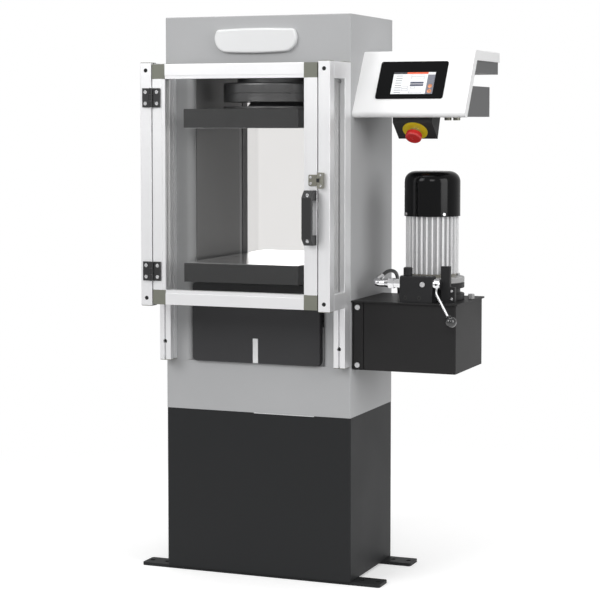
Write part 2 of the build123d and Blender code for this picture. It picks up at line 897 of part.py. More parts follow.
# Screws of the guard frame, the hinge leaves on the post and the rear guard
with BuildPart() as guard_screws:
    bar_screw = socket_screw(guard_screw_d, guard_screw_head_d, guard_screw_head_height, guard_screw_length)
    for sign in (-1, 1):
        for z in front_screw_z:
            with Locations(Location((sign * post_x, guard_front + guard_screw_head_height, z), facing_front)):
                add(bar_screw)
    for x, z in rear_screw_places:
        with Locations(Location((x, rail_rear + rear_screw_seat, z), facing_front)):
            add(bar_screw)
    leaf_screw = socket_screw(hinge_screw_d, hinge_screw_head_d, hinge_screw_head_height, hinge_screw_length)
    leaf_seat_y = guard_front - leaf_thickness + hinge_screw_head_height
    for x, z, _ in post_leaf_holes:
        with Locations(Location((x, leaf_seat_y, z), facing_front)):
            add(leaf_screw)
save(guard_screws.part, "guard_screws")

# Door stiles with the glazing groove and a stepped bead along the window
door_mid_y = guard_front + door_depth / 2
door_groove = door_window_thickness + 2 * glazing_gap
stile_x = door_right - stile_width / 2
handle_x = stile_x + handle_offset
stile_low = door_low + door_rail_height
stile_high = door_high - door_rail_height
handle_z = door_low + handle_rise
handle_screw_z = [handle_z + half * (handle_length / 2 - handle_screw_inset) for half in (-1, 1)]
with BuildPart() as door_stiles:
    with BuildSketch(Plane.XY.offset(stile_low)) as section:
        with Locations((-stile_x, door_mid_y), (stile_x, door_mid_y)):
            Rectangle(stile_width, door_depth)
        fillet(section.vertices(), bar_edge_radius)
        for sign in (-1, 1):
            inner = sign * (door_right - stile_width)
            cut_slot(inner, door_mid_y, door_groove, window_bite + glazing_gap, turned=True)
            with Locations((inner, guard_front)):
                Rectangle(2 * bead_height, 2 * bead_step, mode=Mode.SUBTRACT)
    extrude(amount=stile_high - stile_low)
    for x, z, radius in door_leaf_holes:
        with BuildSketch(front_plane(guard_front)):
            with Locations((x, z)):
                Circle(radius)
        extrude(amount=-hinge_screw_length, mode=Mode.SUBTRACT)
    with BuildSketch(front_plane(guard_front)):
        with Locations(*[(handle_x, z) for z in handle_screw_z]):
            Circle(handle_screw_d / 2 + screw_core_gap)
    extrude(amount=-door_depth, mode=Mode.SUBTRACT)
save(door_stiles.part, "door_stiles")

# Door rails with the same section
rail_z = (door_low + door_rail_height / 2, door_high - door_rail_height / 2)
rail_half = door_right - stile_width
with BuildPart() as door_rails:
    with BuildSketch(side_plane(-rail_half)) as section:
        with Locations(*[(door_mid_y, z) for z in rail_z]):
            Rectangle(door_depth, door_rail_height)
        fillet(section.vertices(), bar_edge_radius)
        for inner in (stile_low, stile_high):
            cut_slot(door_mid_y, inner, door_groove, window_bite + glazing_gap)
            with Locations((guard_front, inner)):
                Rectangle(2 * bead_step, 2 * bead_height, mode=Mode.SUBTRACT)
    extrude(amount=2 * rail_half)
save(door_rails.part, "door_rails")

# Cast corner blocks, notched for the corners of the window
with BuildPart() as door_corner_blocks:
    for sign in (-1, 1):
        for z in rail_z:
            with Locations((sign * stile_x, door_mid_y, z)):
                Box(stile_width, door_depth, door_rail_height)
    fillet(door_corner_blocks.edges().filter_by(Axis.Y), corner_block_edge)
    notch = 2 * (window_bite + glazing_gap)
    for sign in (-1, 1):
        for z in (stile_low, stile_high):
            with Locations((sign * rail_half, door_mid_y, z)):
                Box(notch, door_groove, notch, mode=Mode.SUBTRACT)
save(door_corner_blocks.part, "door_corner_blocks")

# Door window
with BuildPart() as door_window:
    with Locations((0, door_mid_y, (door_low + door_high) / 2)):
        Box(2 * (rail_half + window_bite), door_window_thickness, stile_high - stile_low + 2 * window_bite)
save(door_window.part, "door_window")

# Hinges: leaves on the faces of the post and the stile, knuckles standing in front of them
knuckle_r = knuckle_d / 2
knuckle_step = hinge_height / 3
leaf_start = knuckle_r + leaf_gap


def hinge_leaves(sign, knuckle_levels, holes):
    """Leaves of both hinges on one side of the pins, with their knuckles at the given levels."""
    leaf_span = hinge_width / 2 - leaf_start
    leaf_x = hinge_x + sign * (leaf_start + leaf_span / 2)
    with BuildPart() as leaves:
        for z in hinge_z:
            with BuildSketch(front_plane(guard_front)) as face:
                with Locations((leaf_x, z)):
                    Rectangle(leaf_span, hinge_height)
            extrude(amount=leaf_thickness)
            for level in knuckle_levels:
                knuckle_z = z + level * knuckle_step
                height = knuckle_step - knuckle_gap
                with Locations((hinge_x, hinge_y, knuckle_z)):
                    Cylinder(knuckle_r, height)
                bridge_depth = leaf_thickness - knuckle_gap
                with Locations(
                    (hinge_x + sign * leaf_start / 2, guard_front - knuckle_gap - bridge_depth / 2, knuckle_z)
                ):
                    Box(leaf_start, bridge_depth, height)
            with Locations((hinge_x, hinge_y, z)):
                Cylinder(pin_d / 2 + pin_gap, hinge_height, mode=Mode.SUBTRACT)
        for x, z, radius in holes:
            with BuildSketch(front_plane(guard_front)):
                with Locations((x, z)):
                    Circle(radius)
            extrude(amount=leaf_thickness, mode=Mode.SUBTRACT)
            with BuildSketch(front_plane(guard_front - leaf_thickness)):
                with Locations((x, z)):
                    Circle(hinge_screw_head_d / 2 + screw_core_gap)
            extrude(amount=-hinge_screw_head_height, mode=Mode.SUBTRACT)
    return leaves.part


hinge_post_leaves = hinge_leaves(-1, (-1, 1), post_leaf_holes)
save(hinge_post_leaves, "hinge_post_leaves")
hinge_door_leaves = hinge_leaves(1, (0,), door_leaf_holes)
save(hinge_door_leaves, "hinge_door_leaves")

with BuildPart() as hinge_pins:
    for z in hinge_z:
        with Locations((hinge_x, hinge_y, z)):
            Cylinder(pin_d / 2, hinge_height)
        for end in (-1, 1):
            with Locations((hinge_x, hinge_y, z + end * (hinge_height + pin_head_height) / 2)):
                Cylinder(pin_head_d / 2, pin_head_height)
save(hinge_pins.part, "hinge_pins")

# Bridge handle: chamfered ends, rounded grip, counterbored feet
grip_z = handle_length / 2 - handle_foot_length
with BuildPart() as door_handle:
    with BuildSketch(side_plane(handle_x - handle_width / 2)) as section:
        with BuildLine():
            Polyline(
                (guard_front, handle_z - handle_length / 2),
                (guard_front - handle_standout + handle_chamfer, handle_z - handle_length / 2),
                (guard_front - handle_standout, handle_z - handle_length / 2 + handle_chamfer),
                (guard_front - handle_standout, handle_z + handle_length / 2 - handle_chamfer),
                (guard_front - handle_standout + handle_chamfer, handle_z + handle_length / 2),
                (guard_front, handle_z + handle_length / 2),
                (guard_front, handle_z + grip_z),
                (guard_front - handle_standout + handle_grip_depth, handle_z + grip_z),
                (guard_front - handle_standout + handle_grip_depth, handle_z - grip_z),
                (guard_front, handle_z - grip_z),
                close=True,
            )
        make_face()
        outer = section.vertices().filter_by(
            lambda v: v.X < guard_front - handle_grip_depth and abs(v.Y - handle_z) > grip_z
        )
        fillet(outer, handle_edge_radius)
    extrude(amount=handle_width)
    with BuildSketch(front_plane(guard_front)):
        with Locations(*[(handle_x, z) for z in handle_screw_z]):
            Circle(handle_screw_d / 2 + screw_core_gap)
    extrude(amount=handle_standout, mode=Mode.SUBTRACT)
    with BuildSketch(front_plane(guard_front - handle_screw_seat)):
        with Locations(*[(handle_x, z) for z in handle_screw_z]):
            Circle(handle_screw_head_d / 2 + screw_core_gap)
    extrude(amount=handle_standout, mode=Mode.SUBTRACT)
save(door_handle.part, "door_handle")

# Screws on the door: hinge leaves and handle
with BuildPart() as door_screws:
    for x, z, _ in door_leaf_holes:
        with Locations(Location((x, leaf_seat_y, z), facing_front)):
            add(leaf_screw)
    grip_screw = socket_screw(handle_screw_d, handle_screw_head_d, guard_screw_head_height, handle_screw_length)
    for z in handle_screw_z:
        with Locations(Location((handle_x, guard_front - handle_screw_seat, z), facing_front)):
            add(grip_screw)
save(door_screws.part, "door_screws")

# Latch plate on the stile, its tongue reaching over the post
latch_z = handle_z + handle_length / 2 + latch_gap + latch_height / 2
latch_x = door_right - latch_plate_width / 2
with BuildPart() as latch_plate:
    with BuildSketch(front_plane(guard_front)) as face:
        with Locations((latch_x, latch_z)):
            RectangleRounded(latch_plate_width, latch_height, latch_plate_thickness)
        with Locations((door_right + (latch_tongue_width - latch_plate_width / 2) / 2, latch_z)):
            Rectangle(latch_tongue_width + latch_plate_width / 2, latch_tongue_height)
    extrude(amount=latch_plate_thickness)
save(latch_plate.part, "latch_plate")

# Keeper on the post, slotted for the tongue
keeper_x = side_x - bar + keeper_inset + keeper_width / 2
with BuildPart() as latch_keeper:
    with BuildSketch(front_plane(guard_front)):
        with Locations((keeper_x, latch_z)):
            RectangleRounded(keeper_width, keeper_height, latch_plate_thickness)
        slot_end = door_right + latch_tongue_width + keeper_slot_gap
        with Locations((slot_end - keeper_width, latch_z)):
            Rectangle(2 * keeper_width, latch_tongue_height + 2 * keeper_slot_gap, mode=Mode.SUBTRACT)
    extrude(amount=keeper_depth)
save(latch_keeper.part, "latch_keeper")

# Tank bracket, a folded channel between the body and the tank
tank_z = lower_platen_z - tank_drop
tank_front = front_y + tank_setback
tank_rear = tank_front + tank_depth
tank_left = side_x + tank_bracket_width
tank_right = tank_left + tank_width
tank_top = tank_z + tank_height
lid_top = tank_top + lid_thickness
bracket_bolt_x = side_x + bracket_bolt_inset + bracket_sheet
bracket_bolt_z = (tank_z + bracket_bolt_inset, tank_top - bracket_bolt_inset)
with BuildPart() as tank_bracket:
    with BuildSketch(Plane.XY.offset(tank_z)) as section:
        with Locations((side_x + tank_bracket_width / 2, (tank_front + tank_rear) / 2)):
            Rectangle(tank_bracket_width, tank_depth)
        fillet(section.vertices().sort_by(Axis.X)[:2], bracket_bend)
        with BuildSketch(mode=Mode.SUBTRACT) as inside:
            with Locations((side_x + tank_bracket_width / 2 + bracket_sheet, (tank_front + tank_rear) / 2)):
                Rectangle(tank_bracket_width, tank_depth - 2 * bracket_sheet)
            fillet(inside.vertices().sort_by(Axis.X)[:2], bracket_bend - bracket_sheet)
    extrude(amount=tank_height)
    with BuildSketch(front_plane(tank_front)):
        with Locations(*[(bracket_bolt_x, z) for z in bracket_bolt_z]):
            Circle(bracket_bolt_d / 2 + screw_core_gap)
    extrude(amount=-bracket_sheet, mode=Mode.SUBTRACT)
save(tank_bracket.part, "tank_bracket")

# Oil tank, open at the top under its lid
with BuildPart() as oil_tank:
    with BuildSketch(Plane.XY.offset(tank_z)) as section:
        with Locations((tank_left + tank_width / 2, (tank_front + tank_rear) / 2)):
            Rectangle(tank_width, tank_depth)
        fillet(section.vertices(), tank_bend)
    extrude(amount=tank_height)
    with BuildSketch(Plane.XY.offset(tank_z + tank_wall)) as inside:
        with Locations((tank_left + tank_width / 2, (tank_front + tank_rear) / 2)):
            Rectangle(tank_width - 2 * tank_wall, tank_depth - 2 * tank_wall)
        fillet(inside.vertices(), tank_bend - tank_wall)
    extrude(amount=tank_height, mode=Mode.SUBTRACT)
save(oil_tank.part, "oil_tank")

# Tank lid over the tank and the bracket, with the pump and filler openings
motor_x = side_x + tank_bracket_width + motor_inset
motor_y = front_y + motor_setback
filler_x = tank_right + lid_overhang - filler_inset
filler_y = front_y + filler_setback
lid_right = tank_right + lid_overhang
lid_front = tank_front - lid_overhang
lid_rear = tank_rear + lid_overhang
with BuildPart() as tank_lid:
    with BuildSketch(Plane.XY.offset(tank_top)) as section:
        with Locations(((side_x + lid_right) / 2, (lid_front + lid_rear) / 2)):
            Rectangle(lid_right - side_x, lid_rear - lid_front)
        fillet(section.vertices().sort_by(Axis.X)[-2:], lid_edge_radius)
        with Locations((motor_x, motor_y)):
            Circle(pump_d / 2 + fit_clearance, mode=Mode.SUBTRACT)
        with Locations((filler_x, filler_y)):
            Circle(filler_neck_d / 2 + fit_clearance, mode=Mode.SUBTRACT)
    extrude(amount=lid_thickness)
save(tank_lid.part, "tank_lid")

# Pump hanging through the lid into the oil
pump_seat = lid_top + pump_rim
with BuildPart() as pump_body:
    with BuildSketch(Plane.XY.offset(lid_top - pump_height)):
        with Locations((motor_x, motor_y)):
            Circle(pump_d / 2)
    extrude(amount=pump_height + pump_rim)
    fillet(pump_body.edges().group_by(Axis.Z)[0], pump_edge_radius)
    with BuildSketch(Plane.XY.offset(pump_seat)):
        with Locations((motor_x, motor_y)):
            Circle(shaft_d / 2 + shaft_gap)
    extrude(amount=-pump_bore_depth, mode=Mode.SUBTRACT)
save(pump_body.part, "pump_body")

# Bell housing between the tank lid and the motor
neck_low = lid_top + adaptor_foot_height
disc_low = neck_low + adaptor_neck_height
adaptor_top = disc_low + adaptor_disc_height
with BuildPart() as bell_housing:
    with BuildSketch(Plane(origin=(motor_x, motor_y, 0), x_dir=(1, 0, 0), z_dir=(0, -1, 0))) as section:
        with BuildLine():
            Polyline(
                (adaptor_bore_d / 2, lid_top),
                (flange_d / 2, lid_top),
                (flange_d / 2, neck_low),
                (adaptor_neck_d / 2, neck_low),
                (adaptor_neck_d / 2, disc_low),
                (flange_d / 2, disc_low),
                (flange_d / 2, adaptor_top),
                (adaptor_bore_d / 2, adaptor_top),
                close=True,
            )
        make_face()
    revolve(axis=Axis((motor_x, motor_y, 0), (0, 0, 1)))
    chamfer(bell_housing.edges().filter_by(GeomType.CIRCLE).filter_by(lambda e: e.radius > flange_d / 2 - 1), 1)
save(bell_housing.part, "bell_housing")

motor_d = fan_cover_d - 2 * (fan_cover_sheet + fan_cover_fit)

# Motor frame: flange, end shield, finned body round the stator bore and a ring that the fan cover sits on
shield_low = adaptor_top + motor_flange_height
fins_low = shield_low + end_shield_height
fins_top = fins_low + motor_body_height
stator_low = fins_low + end_shield_height
stator_top = fins_top - end_shield_height
with BuildPart() as motor_frame:
    with BuildSketch(Plane.XY.offset(adaptor_top)):
        with Locations((motor_x, motor_y)):
            Circle(flange_d / 2)
    extrude(amount=motor_flange_height)
    chamfer(motor_frame.edges().filter_by(GeomType.CIRCLE), 1.5)
    with BuildSketch(Plane.XY.offset(shield_low)):
        with Locations((motor_x, motor_y)):
            Circle(end_shield_d / 2)
    extrude(amount=end_shield_height)
    with BuildSketch(Plane.XY.offset(fins_low)):
        with Locations((motor_x, motor_y)):
            Circle(motor_core_d / 2)
            with PolarLocations((motor_core_d + motor_d) / 4 - fin_thickness / 2, fin_count):
                Rectangle((motor_d - motor_core_d) / 2, fin_thickness)
    extrude(amount=motor_body_height)
    with BuildSketch(Plane.XY.offset(fins_top - fan_cover_lap)):
        with Locations((motor_x, motor_y)):
            Circle(motor_d / 2)
    extrude(amount=fan_cover_lap)
    for angle in cover_screw_angles:
        way = Vector(math.cos(math.radians(angle)), math.sin(math.radians(angle)), 0)
        root = Vector(motor_x, motor_y, fins_top - fan_cover_lap / 2) + way * (fan_cover_d / 2 - cover_screw_length)
        with Locations(Plane(origin=root, z_dir=way)):
            Cylinder(
                cover_screw_d / 2 + screw_core_gap,
                cover_screw_length,
                align=(Align.CENTER, Align.CENTER, Align.MIN),
                mode=Mode.SUBTRACT,
            )
    with BuildSketch(Plane.XY.offset(stator_low)):
        with Locations((motor_x, motor_y)):
            Circle(stator_bore_d / 2)
    extrude(amount=stator_top - stator_low, mode=Mode.SUBTRACT)
    with BuildSketch(Plane.XY.offset(adaptor_top)):
        with Locations((motor_x, motor_y)):
            Circle(shaft_d / 2 + shaft_gap)
    extrude(amount=fins_top - adaptor_top, mode=Mode.SUBTRACT)
save(motor_frame.part, "motor_frame")

# Motor shaft with the rotor, the coupling and the fan seat
fan_z = fins_top + fan_rise
cover_low = fins_top - fan_cover_lap
cover_top = cover_low + fan_cover_height
shaft_low = pump_seat - pump_bore_depth + shaft_end_gap
coupling_z = (pump_seat + adaptor_top) / 2 + shaft_end_gap
with BuildPart() as motor_shaft:
    with BuildSketch(Plane.XY.offset(shaft_low)):
        with Locations((motor_x, motor_y)):
            Circle(shaft_d / 2)
    extrude(amount=fan_z + fan_height + shaft_end_gap - shaft_low)
    with Locations((motor_x, motor_y, coupling_z)):
        Cylinder(coupling_d / 2, coupling_height)
    with Locations((motor_x, motor_y, (stator_low + stator_top) / 2)):
        Cylinder(rotor_d / 2, rotor_height)
save(motor_shaft.part, "motor_shaft")

# Radial fan on the shaft's upper end
with BuildPart() as cooling_fan:
    with BuildSketch(Plane.XY.offset(fan_z)):
        with Locations((motor_x, motor_y)):
            Circle(fan_d / 2)
    extrude(amount=fan_disc)
    with BuildSketch(Plane.XY.offset(fan_z)):
        with Locations((motor_x, motor_y)):
            Circle(fan_hub_d / 2)
            with PolarLocations((fan_hub_d + fan_d) / 4 - fan_disc, fan_blades):
                Rectangle((fan_d - fan_hub_d) / 2, fan_disc)
    extrude(amount=fan_height)
    with BuildSketch(Plane.XY.offset(fan_z)):
        with Locations((motor_x, motor_y)):
            Circle(shaft_d / 2)
    extrude(amount=fan_height, mode=Mode.SUBTRACT)
save(cooling_fan.part, "cooling_fan")

# Fan cover: a domed cap over the fan, seated round the ends of the fins, with rings of air holes
cover_r = fan_cover_d / 2
cover_shoulder = cover_r - fan_cover_radius
inner_radius = fan_cover_radius - fan_cover_sheet
with BuildPart() as fan_cover:
    with BuildSketch(Plane(origin=(motor_x, motor_y, 0), x_dir=(1, 0, 0), z_dir=(0, -1, 0))):
        with BuildLine():
            Line((cover_r, cover_low), (cover_r, cover_top - fan_cover_radius))
            RadiusArc(
                (cover_r, cover_top - fan_cover_radius), (cover_shoulder, cover_top), -fan_cover_radius
            )
            Polyline(
                (cover_shoulder, cover_top),
                (0, cover_top),
                (0, cover_top - fan_cover_sheet),
                (cover_shoulder, cover_top - fan_cover_sheet),
            )
            RadiusArc(
                (cover_shoulder, cover_top - fan_cover_sheet),
                (cover_r - fan_cover_sheet, cover_top - fan_cover_radius),
                inner_radius,
            )
            Polyline(
                (cover_r - fan_cover_sheet, cover_top - fan_cover_radius),
                (cover_r - fan_cover_sheet, cover_low),
                (cover_r, cover_low),
            )
        make_face()
    revolve(axis=Axis((motor_x, motor_y, 0), (0, 0, 1)))
    with BuildSketch(Plane.XY.offset(cover_top)):
        with Locations((motor_x, motor_y)):
            for ring_radius, holes in zip(cover_ring_radii, cover_hole_counts):
                with PolarLocations(ring_radius, holes):
                    Circle(cover_hole_d / 2)
    extrude(amount=-fan_cover_radius, mode=Mode.SUBTRACT)
    for angle in cover_screw_angles:
        with Locations(
            Plane(
                origin=(motor_x, motor_y, cover_low + fan_cover_lap / 2),
                z_dir=(math.cos(math.radians(angle)), math.sin(math.radians(angle)), 0),
            )
        ):
            Cylinder(
                cover_screw_d / 2 + screw_core_gap,
                fan_cover_d,
                align=(Align.CENTER, Align.CENTER, Align.MIN),
                mode=Mode.SUBTRACT,
            )
save(fan_cover.part, "fan_cover")

# Valve block on the lid in front of the motor
block_left = tank_left + tank_width - block_inset - block_width
block_right = block_left + block_width
block_front = tank_front + block_setback
block_mid_y = block_front + block_depth / 2
block_top_z = lid_top + block_height
spindle_z = lid_top + spindle_rise
spindle_y = block_mid_y
block_screws = [
    (block_left + block_screw_inset + i * block_screw_spacing, lid_top + block_screw_rise) for i in (0, 1)
]
with BuildPart() as valve_block:
    with Locations(((block_left + block_right) / 2, block_mid_y, lid_top + block_height / 2)):
        Box(block_width, block_depth, block_height)
    chamfer(valve_block.edges().filter_by(Axis.Z) + valve_block.edges().group_by(Axis.Z)[-1], block_edge)
    with BuildSketch(front_plane(block_front)):
        with Locations(*block_screws):
            Circle(block_screw_head_d / 2 + screw_core_gap)
    extrude(amount=-guard_screw_head_height, mode=Mode.SUBTRACT)
    with BuildSketch(front_plane(block_front)):
        with Locations(*block_screws):
            Circle(block_screw_d / 2 + screw_core_gap)
    extrude(amount=-block_screw_length - guard_screw_head_height, mode=Mode.SUBTRACT)
    with BuildSketch(side_plane(block_right)):
        with Locations((spindle_y, spindle_z)):
            Circle(spindle_d / 2 + spindle_gap)
    extrude(amount=-spindle_depth - hub_gap, mode=Mode.SUBTRACT)
save(valve_block.part, "valve_block")

# Lever arm: spindle, hub and a rod that leaves the hub square and bends outwards
hub_x = block_right + hub_gap
hub_mid_x = hub_x + hub_length / 2
lean = math.radians(lever_lean)
rod_down = Vector(0, -math.sin(lean), -math.cos(lean))
hub_centre = Vector(hub_mid_x, spindle_y, spindle_z)
rod_root = hub_centre + rod_down * (hub_d / 4)
rod_bend = hub_centre + rod_down * lever_bend_start
knob_centre = hub_centre + rod_down * lever_drop + Vector(lever_side, 0, 0)
rod_way = (knob_centre - rod_bend).normalized()
rod_end = knob_centre + rod_way * (knob_bore_depth - knob_d / 2)
with BuildPart() as lever_arm:
    with BuildSketch(side_plane(block_right - spindle_depth)):
        with Locations((spindle_y, spindle_z)):
            Circle(spindle_d / 2)
    extrude(amount=spindle_depth + hub_gap)
    with BuildSketch(side_plane(hub_x)):
        with Locations((spindle_y, spindle_z)):
            Circle(hub_d / 2)
    extrude(amount=hub_length)
    chamfer(lever_arm.edges().filter_by(GeomType.CIRCLE).group_by(Axis.X)[-1], 2)
    with BuildLine() as rod_path:
        FilletPolyline(rod_root, rod_bend, rod_end, radius=lever_bend_radius)
    with BuildSketch(Plane(origin=rod_root, z_dir=rod_down)):
        Circle(lever_rod_d / 2)
    sweep(path=rod_path.line)
save(lever_arm.part, "lever_arm")

with BuildPart() as ball_knob:
    with Locations(Plane(origin=knob_centre, z_dir=rod_way)):
        Sphere(knob_d / 2)
        Cylinder(knob_collar_d / 2, knob_collar_reach, align=(Align.CENTER, Align.CENTER, Align.MAX))
    with Locations(Plane(origin=rod_end, z_dir=rod_way)):
        Cylinder(lever_rod_d / 2, knob_d, align=(Align.CENTER, Align.CENTER, Align.MAX), mode=Mode.SUBTRACT)
save(ball_knob.part, "ball_knob")

# Relief valve cap on the block, and the flat column on the lid beside it
relief_x = block_left + relief_cap_inset
column_x = block_right + column_gap + column_post_width / 2
column_foot_x = block_right + column_gap + column_foot_width / 2
column_front = block_front + block_depth
column_y = column_front + column_thickness / 2
with BuildPart() as valve_columns:
    with BuildSketch(Plane.XY.offset(block_top_z)):
        with Locations((relief_x, block_mid_y)):
            Circle(relief_cap_d / 2)
    extrude(amount=relief_cap_height)
    chamfer(valve_columns.edges().group_by(Axis.Z)[-1], 2)
    with BuildSketch(Plane.XY.offset(lid_top)):
        with Locations((column_foot_x, column_y)):
            Rectangle(column_foot_width, column_thickness)
    extrude(amount=column_foot_height)
    with BuildSketch(Plane.XY.offset(lid_top)):
        with Locations((column_x, column_y)):
            Rectangle(column_post_width, column_thickness)
    extrude(amount=column_post_height)
save(valve_columns.part, "valve_columns")

# Hydraulic fittings: block adapter, nut, cone and elbow, and the port on the body
fitting_y = block_mid_y
fitting_z = spindle_z
adapter_x = block_left - adapter_length
nut_x = adapter_x - nut_length
cone_x = nut_x - cone_length
elbow_x = cone_x - elbow_reach
hose_way = Vector(0, math.cos(math.radians(elbow_rise)), math.sin(math.radians(elbow_rise)))
hose_start = Vector(elbow_x, fitting_y, fitting_z) + hose_way * elbow_reach
port_x = side_x + port_stand
port_y = rear_y - port_inset
port_z = tank_top - port_drop
hose_end = Vector(port_x, port_y, port_z + elbow_reach)
with BuildPart() as hose_fittings:
    with BuildSketch(side_plane(block_left)):
        with Locations((fitting_y, fitting_z)):
            RegularPolygon(adapter_flats / 2, 6, major_radius=False)
    extrude(amount=-adapter_length)
    with BuildSketch(side_plane(adapter_x)):
        with Locations((fitting_y, fitting_z)):
            RegularPolygon(nut_flats / 2, 6, major_radius=False)
    extrude(amount=-nut_length)
    with BuildSketch(side_plane(nut_x)):
        with Locations((fitting_y, fitting_z)):
            Circle(nut_flats / 2)
    with BuildSketch(side_plane(cone_x)):
        with Locations((fitting_y, fitting_z)):
            Circle(elbow_d / 2)
    loft()
    with BuildLine() as elbow_path:
        FilletPolyline(
            (cone_x, fitting_y, fitting_z),
            (elbow_x, fitting_y, fitting_z),
            hose_start,
            radius=elbow_radius,
        )
    with BuildSketch(side_plane(cone_x)):
        with Locations((fitting_y, fitting_z)):
            Circle(elbow_d / 2)
    sweep(path=elbow_path.line)
    with BuildLine() as port_path:
        FilletPolyline(
            (side_x, port_y, port_z),
            (port_x, port_y, port_z),
            hose_end,
            radius=elbow_radius,
        )
    with BuildSketch(side_plane(side_x)):
        with Locations((port_y, port_z)):
            Circle(elbow_d / 2)
    sweep(path=port_path.line)
    with BuildSketch(side_plane(side_x)):
        with Locations((port_y, port_z)):
            RegularPolygon(port_flats / 2, 6, major_radius=False)
    extrude(amount=port_nut)
    with BuildSketch(Plane(origin=hose_start, z_dir=hose_way)):
        Circle(ferrule_d / 2)
    extrude(amount=ferrule_length)
    with BuildSketch(Plane(origin=hose_end, z_dir=(0, 0, 1))):
        Circle(ferrule_d / 2)
    extrude(amount=ferrule_length)
save(hose_fittings.part, "hose_fittings")

# Pressure hose from the elbow, back along the body's side and down to the port
hose_from = hose_start + hose_way * ferrule_length
hose_to = hose_end + Vector(0, 0, ferrule_length)
hose_points = [
    hose_from,
    hose_from + hose_way * hose_lead,
    hose_from + Vector(2, 105, 4),
    hose_to + Vector(8, -34, 62),
    hose_to + Vector(0, 0, hose_tail),
    hose_to,
]
hose_runs = [b - a for a, b in zip(hose_points, hose_points[1:])]
hose_radii = []
for first, second in zip(hose_runs, hose_runs[1:]):
    half_turn = math.radians(first.get_angle(second)) / 2
    hose_radii.append(hose_bend_share * min(first.length, second.length) / math.tan(half_turn))
with BuildPart() as pressure_hose:
    with BuildLine() as hose_path:
        FilletPolyline(*hose_points, radius=hose_radii)
    with BuildSketch(Plane(origin=hose_from, z_dir=hose_runs[0])):
        Circle(hose_d / 2)
    sweep(path=hose_path.line)
save(pressure_hose.part, "pressure_hose")
hose_length = hose_path.wires()[0].length
hose_volume_share = pressure_hose.part.volume / (hose_length * math.pi * hose_d**2 / 4)
print("Hose radii", [round(radius) for radius in hose_radii])
print("Hose length", round(hose_length, 1), "volume share", round(hose_volume_share, 4))

# Filler cap in the lid's rear corner
with BuildPart() as filler_cap:
    with BuildSketch(Plane.XY.offset(lid_top)):
        with Locations((filler_x, filler_y)):
            RegularPolygon(filler_d / 2, 6)
    extrude(amount=filler_height)
    chamfer(filler_cap.edges().group_by(Axis.Z)[-1], filler_height / 10)
    with BuildSketch(Plane.XY.offset(lid_top)):
        with Locations((filler_x, filler_y)):
            Circle(filler_neck_d / 2)
    extrude(amount=-filler_neck_length)
save(filler_cap.part, "filler_cap")

# Screws of the pump unit: bracket, valve block and fan cover
bracket_screw = socket_screw(bracket_bolt_d, bracket_bolt_head_d, bracket_bolt_d / 2, bracket_bolt_length)
block_screw = socket_screw(block_screw_d, block_screw_head_d, guard_screw_head_height, block_screw_length)
cover_screw = socket_screw(cover_screw_d, cover_screw_head_d, cover_screw_head_height, cover_screw_length)
with BuildPart() as pump_unit_screws:
    for z in bracket_bolt_z:
        with Locations(Location((bracket_bolt_x, tank_front, z), facing_front)):
            add(bracket_screw)
    for x, z in block_screws:
        with Locations(Location((x, block_front + guard_screw_head_height, z), facing_front)):
            add(block_screw)
    for angle in cover_screw_angles:
        way = Vector(math.cos(math.radians(angle)), math.sin(math.radians(angle)), 0)
        seat = Vector(motor_x, motor_y, cover_low + fan_cover_lap / 2) + way * cover_r
        with Locations(Plane(origin=seat, z_dir=way)):
            add(cover_screw)
save(pump_unit_screws.part, "pump_unit_screws")

# Console: a folded sheet cover with a leaning face, a flat top and a flange all round
console_low = crosshead_z - console_sink
console_top = console_low + console_height
console_left = side_x
console_right = console_left + console_width
console_y = front_y + console_front
lean_sin = math.sin(math.radians(console_lean))
lean_cos = math.cos(math.radians(console_lean))


def face_y(depth, z):
    """Y of the plane that lies this deep behind the leaning face, at height z."""
    return console_y + depth * lean_cos + (z - console_low + depth * lean_sin) * lean_sin / lean_cos


def cover_outline(x, width, outset, inset, bend):
    """Band behind the leaning face and under the top, from outset to inset deep, across the given width."""
    with BuildPart() as band:
        with BuildSketch(side_plane(x)) as outline:
            with BuildLine():
                Polyline(
                    (face_y(outset, console_low + outset), console_low + outset),
                    (face_y(outset, console_top - outset), console_top - outset),
                    (rear_y - outset, console_top - outset),
                    (rear_y - outset, console_top - inset),
                    (face_y(inset, console_top - inset), console_top - inset),
                    (face_y(inset, console_low + outset), console_low + outset),
                    close=True,
                )
            make_face()
            knee = outline.vertices().group_by(Axis.Y)[-1].sort_by(Axis.X)[0]
            fillet([outline.vertices().sort_by(Axis.X)[0], knee], bend)
        extrude(amount=width)
    return band.part


cover = cover_outline(console_left, console_width, 0, console_flange, console_bend)
hollow = cover_outline(
    console_left + console_sheet,
    console_width - 2 * console_sheet,
    console_sheet,
    2 * console_flange,
    console_bend - console_sheet,
)
with BuildPart() as console_shell:
    add(cover)
    add(hollow, mode=Mode.SUBTRACT)
save(console_shell.part, "console_shell")

# Console chassis: a shallow box under the top and a deeper box behind the lower face
box_left = console_left + console_sheet + console_fit
box_width = console_width - 2 * (console_sheet + console_fit)
box_skin = console_sheet + console_fit
rail_box = (console_top - box_skin - rail_box_height, console_top - box_skin, rear_y - rail_box_inset, -1)
lower_box = (console_low + console_sheet, console_low + lower_box_height, front_y + lower_box_depth, 0)
with BuildPart() as console_chassis:
    for low, high, back, bend_at in (rail_box, lower_box):
        with BuildSketch(side_plane(box_left)) as section:
            with BuildLine():
                Polyline(
                    (face_y(box_skin, low), low),
                    (face_y(box_skin, high), high),
                    (back, high),
                    (back, low),
                    close=True,
                )
            make_face()
            fillet(section.vertices().group_by(Axis.Y)[bend_at].sort_by(Axis.X)[0], console_bend - console_sheet)
        extrude(amount=box_width)
save(console_chassis.part, "console_chassis")

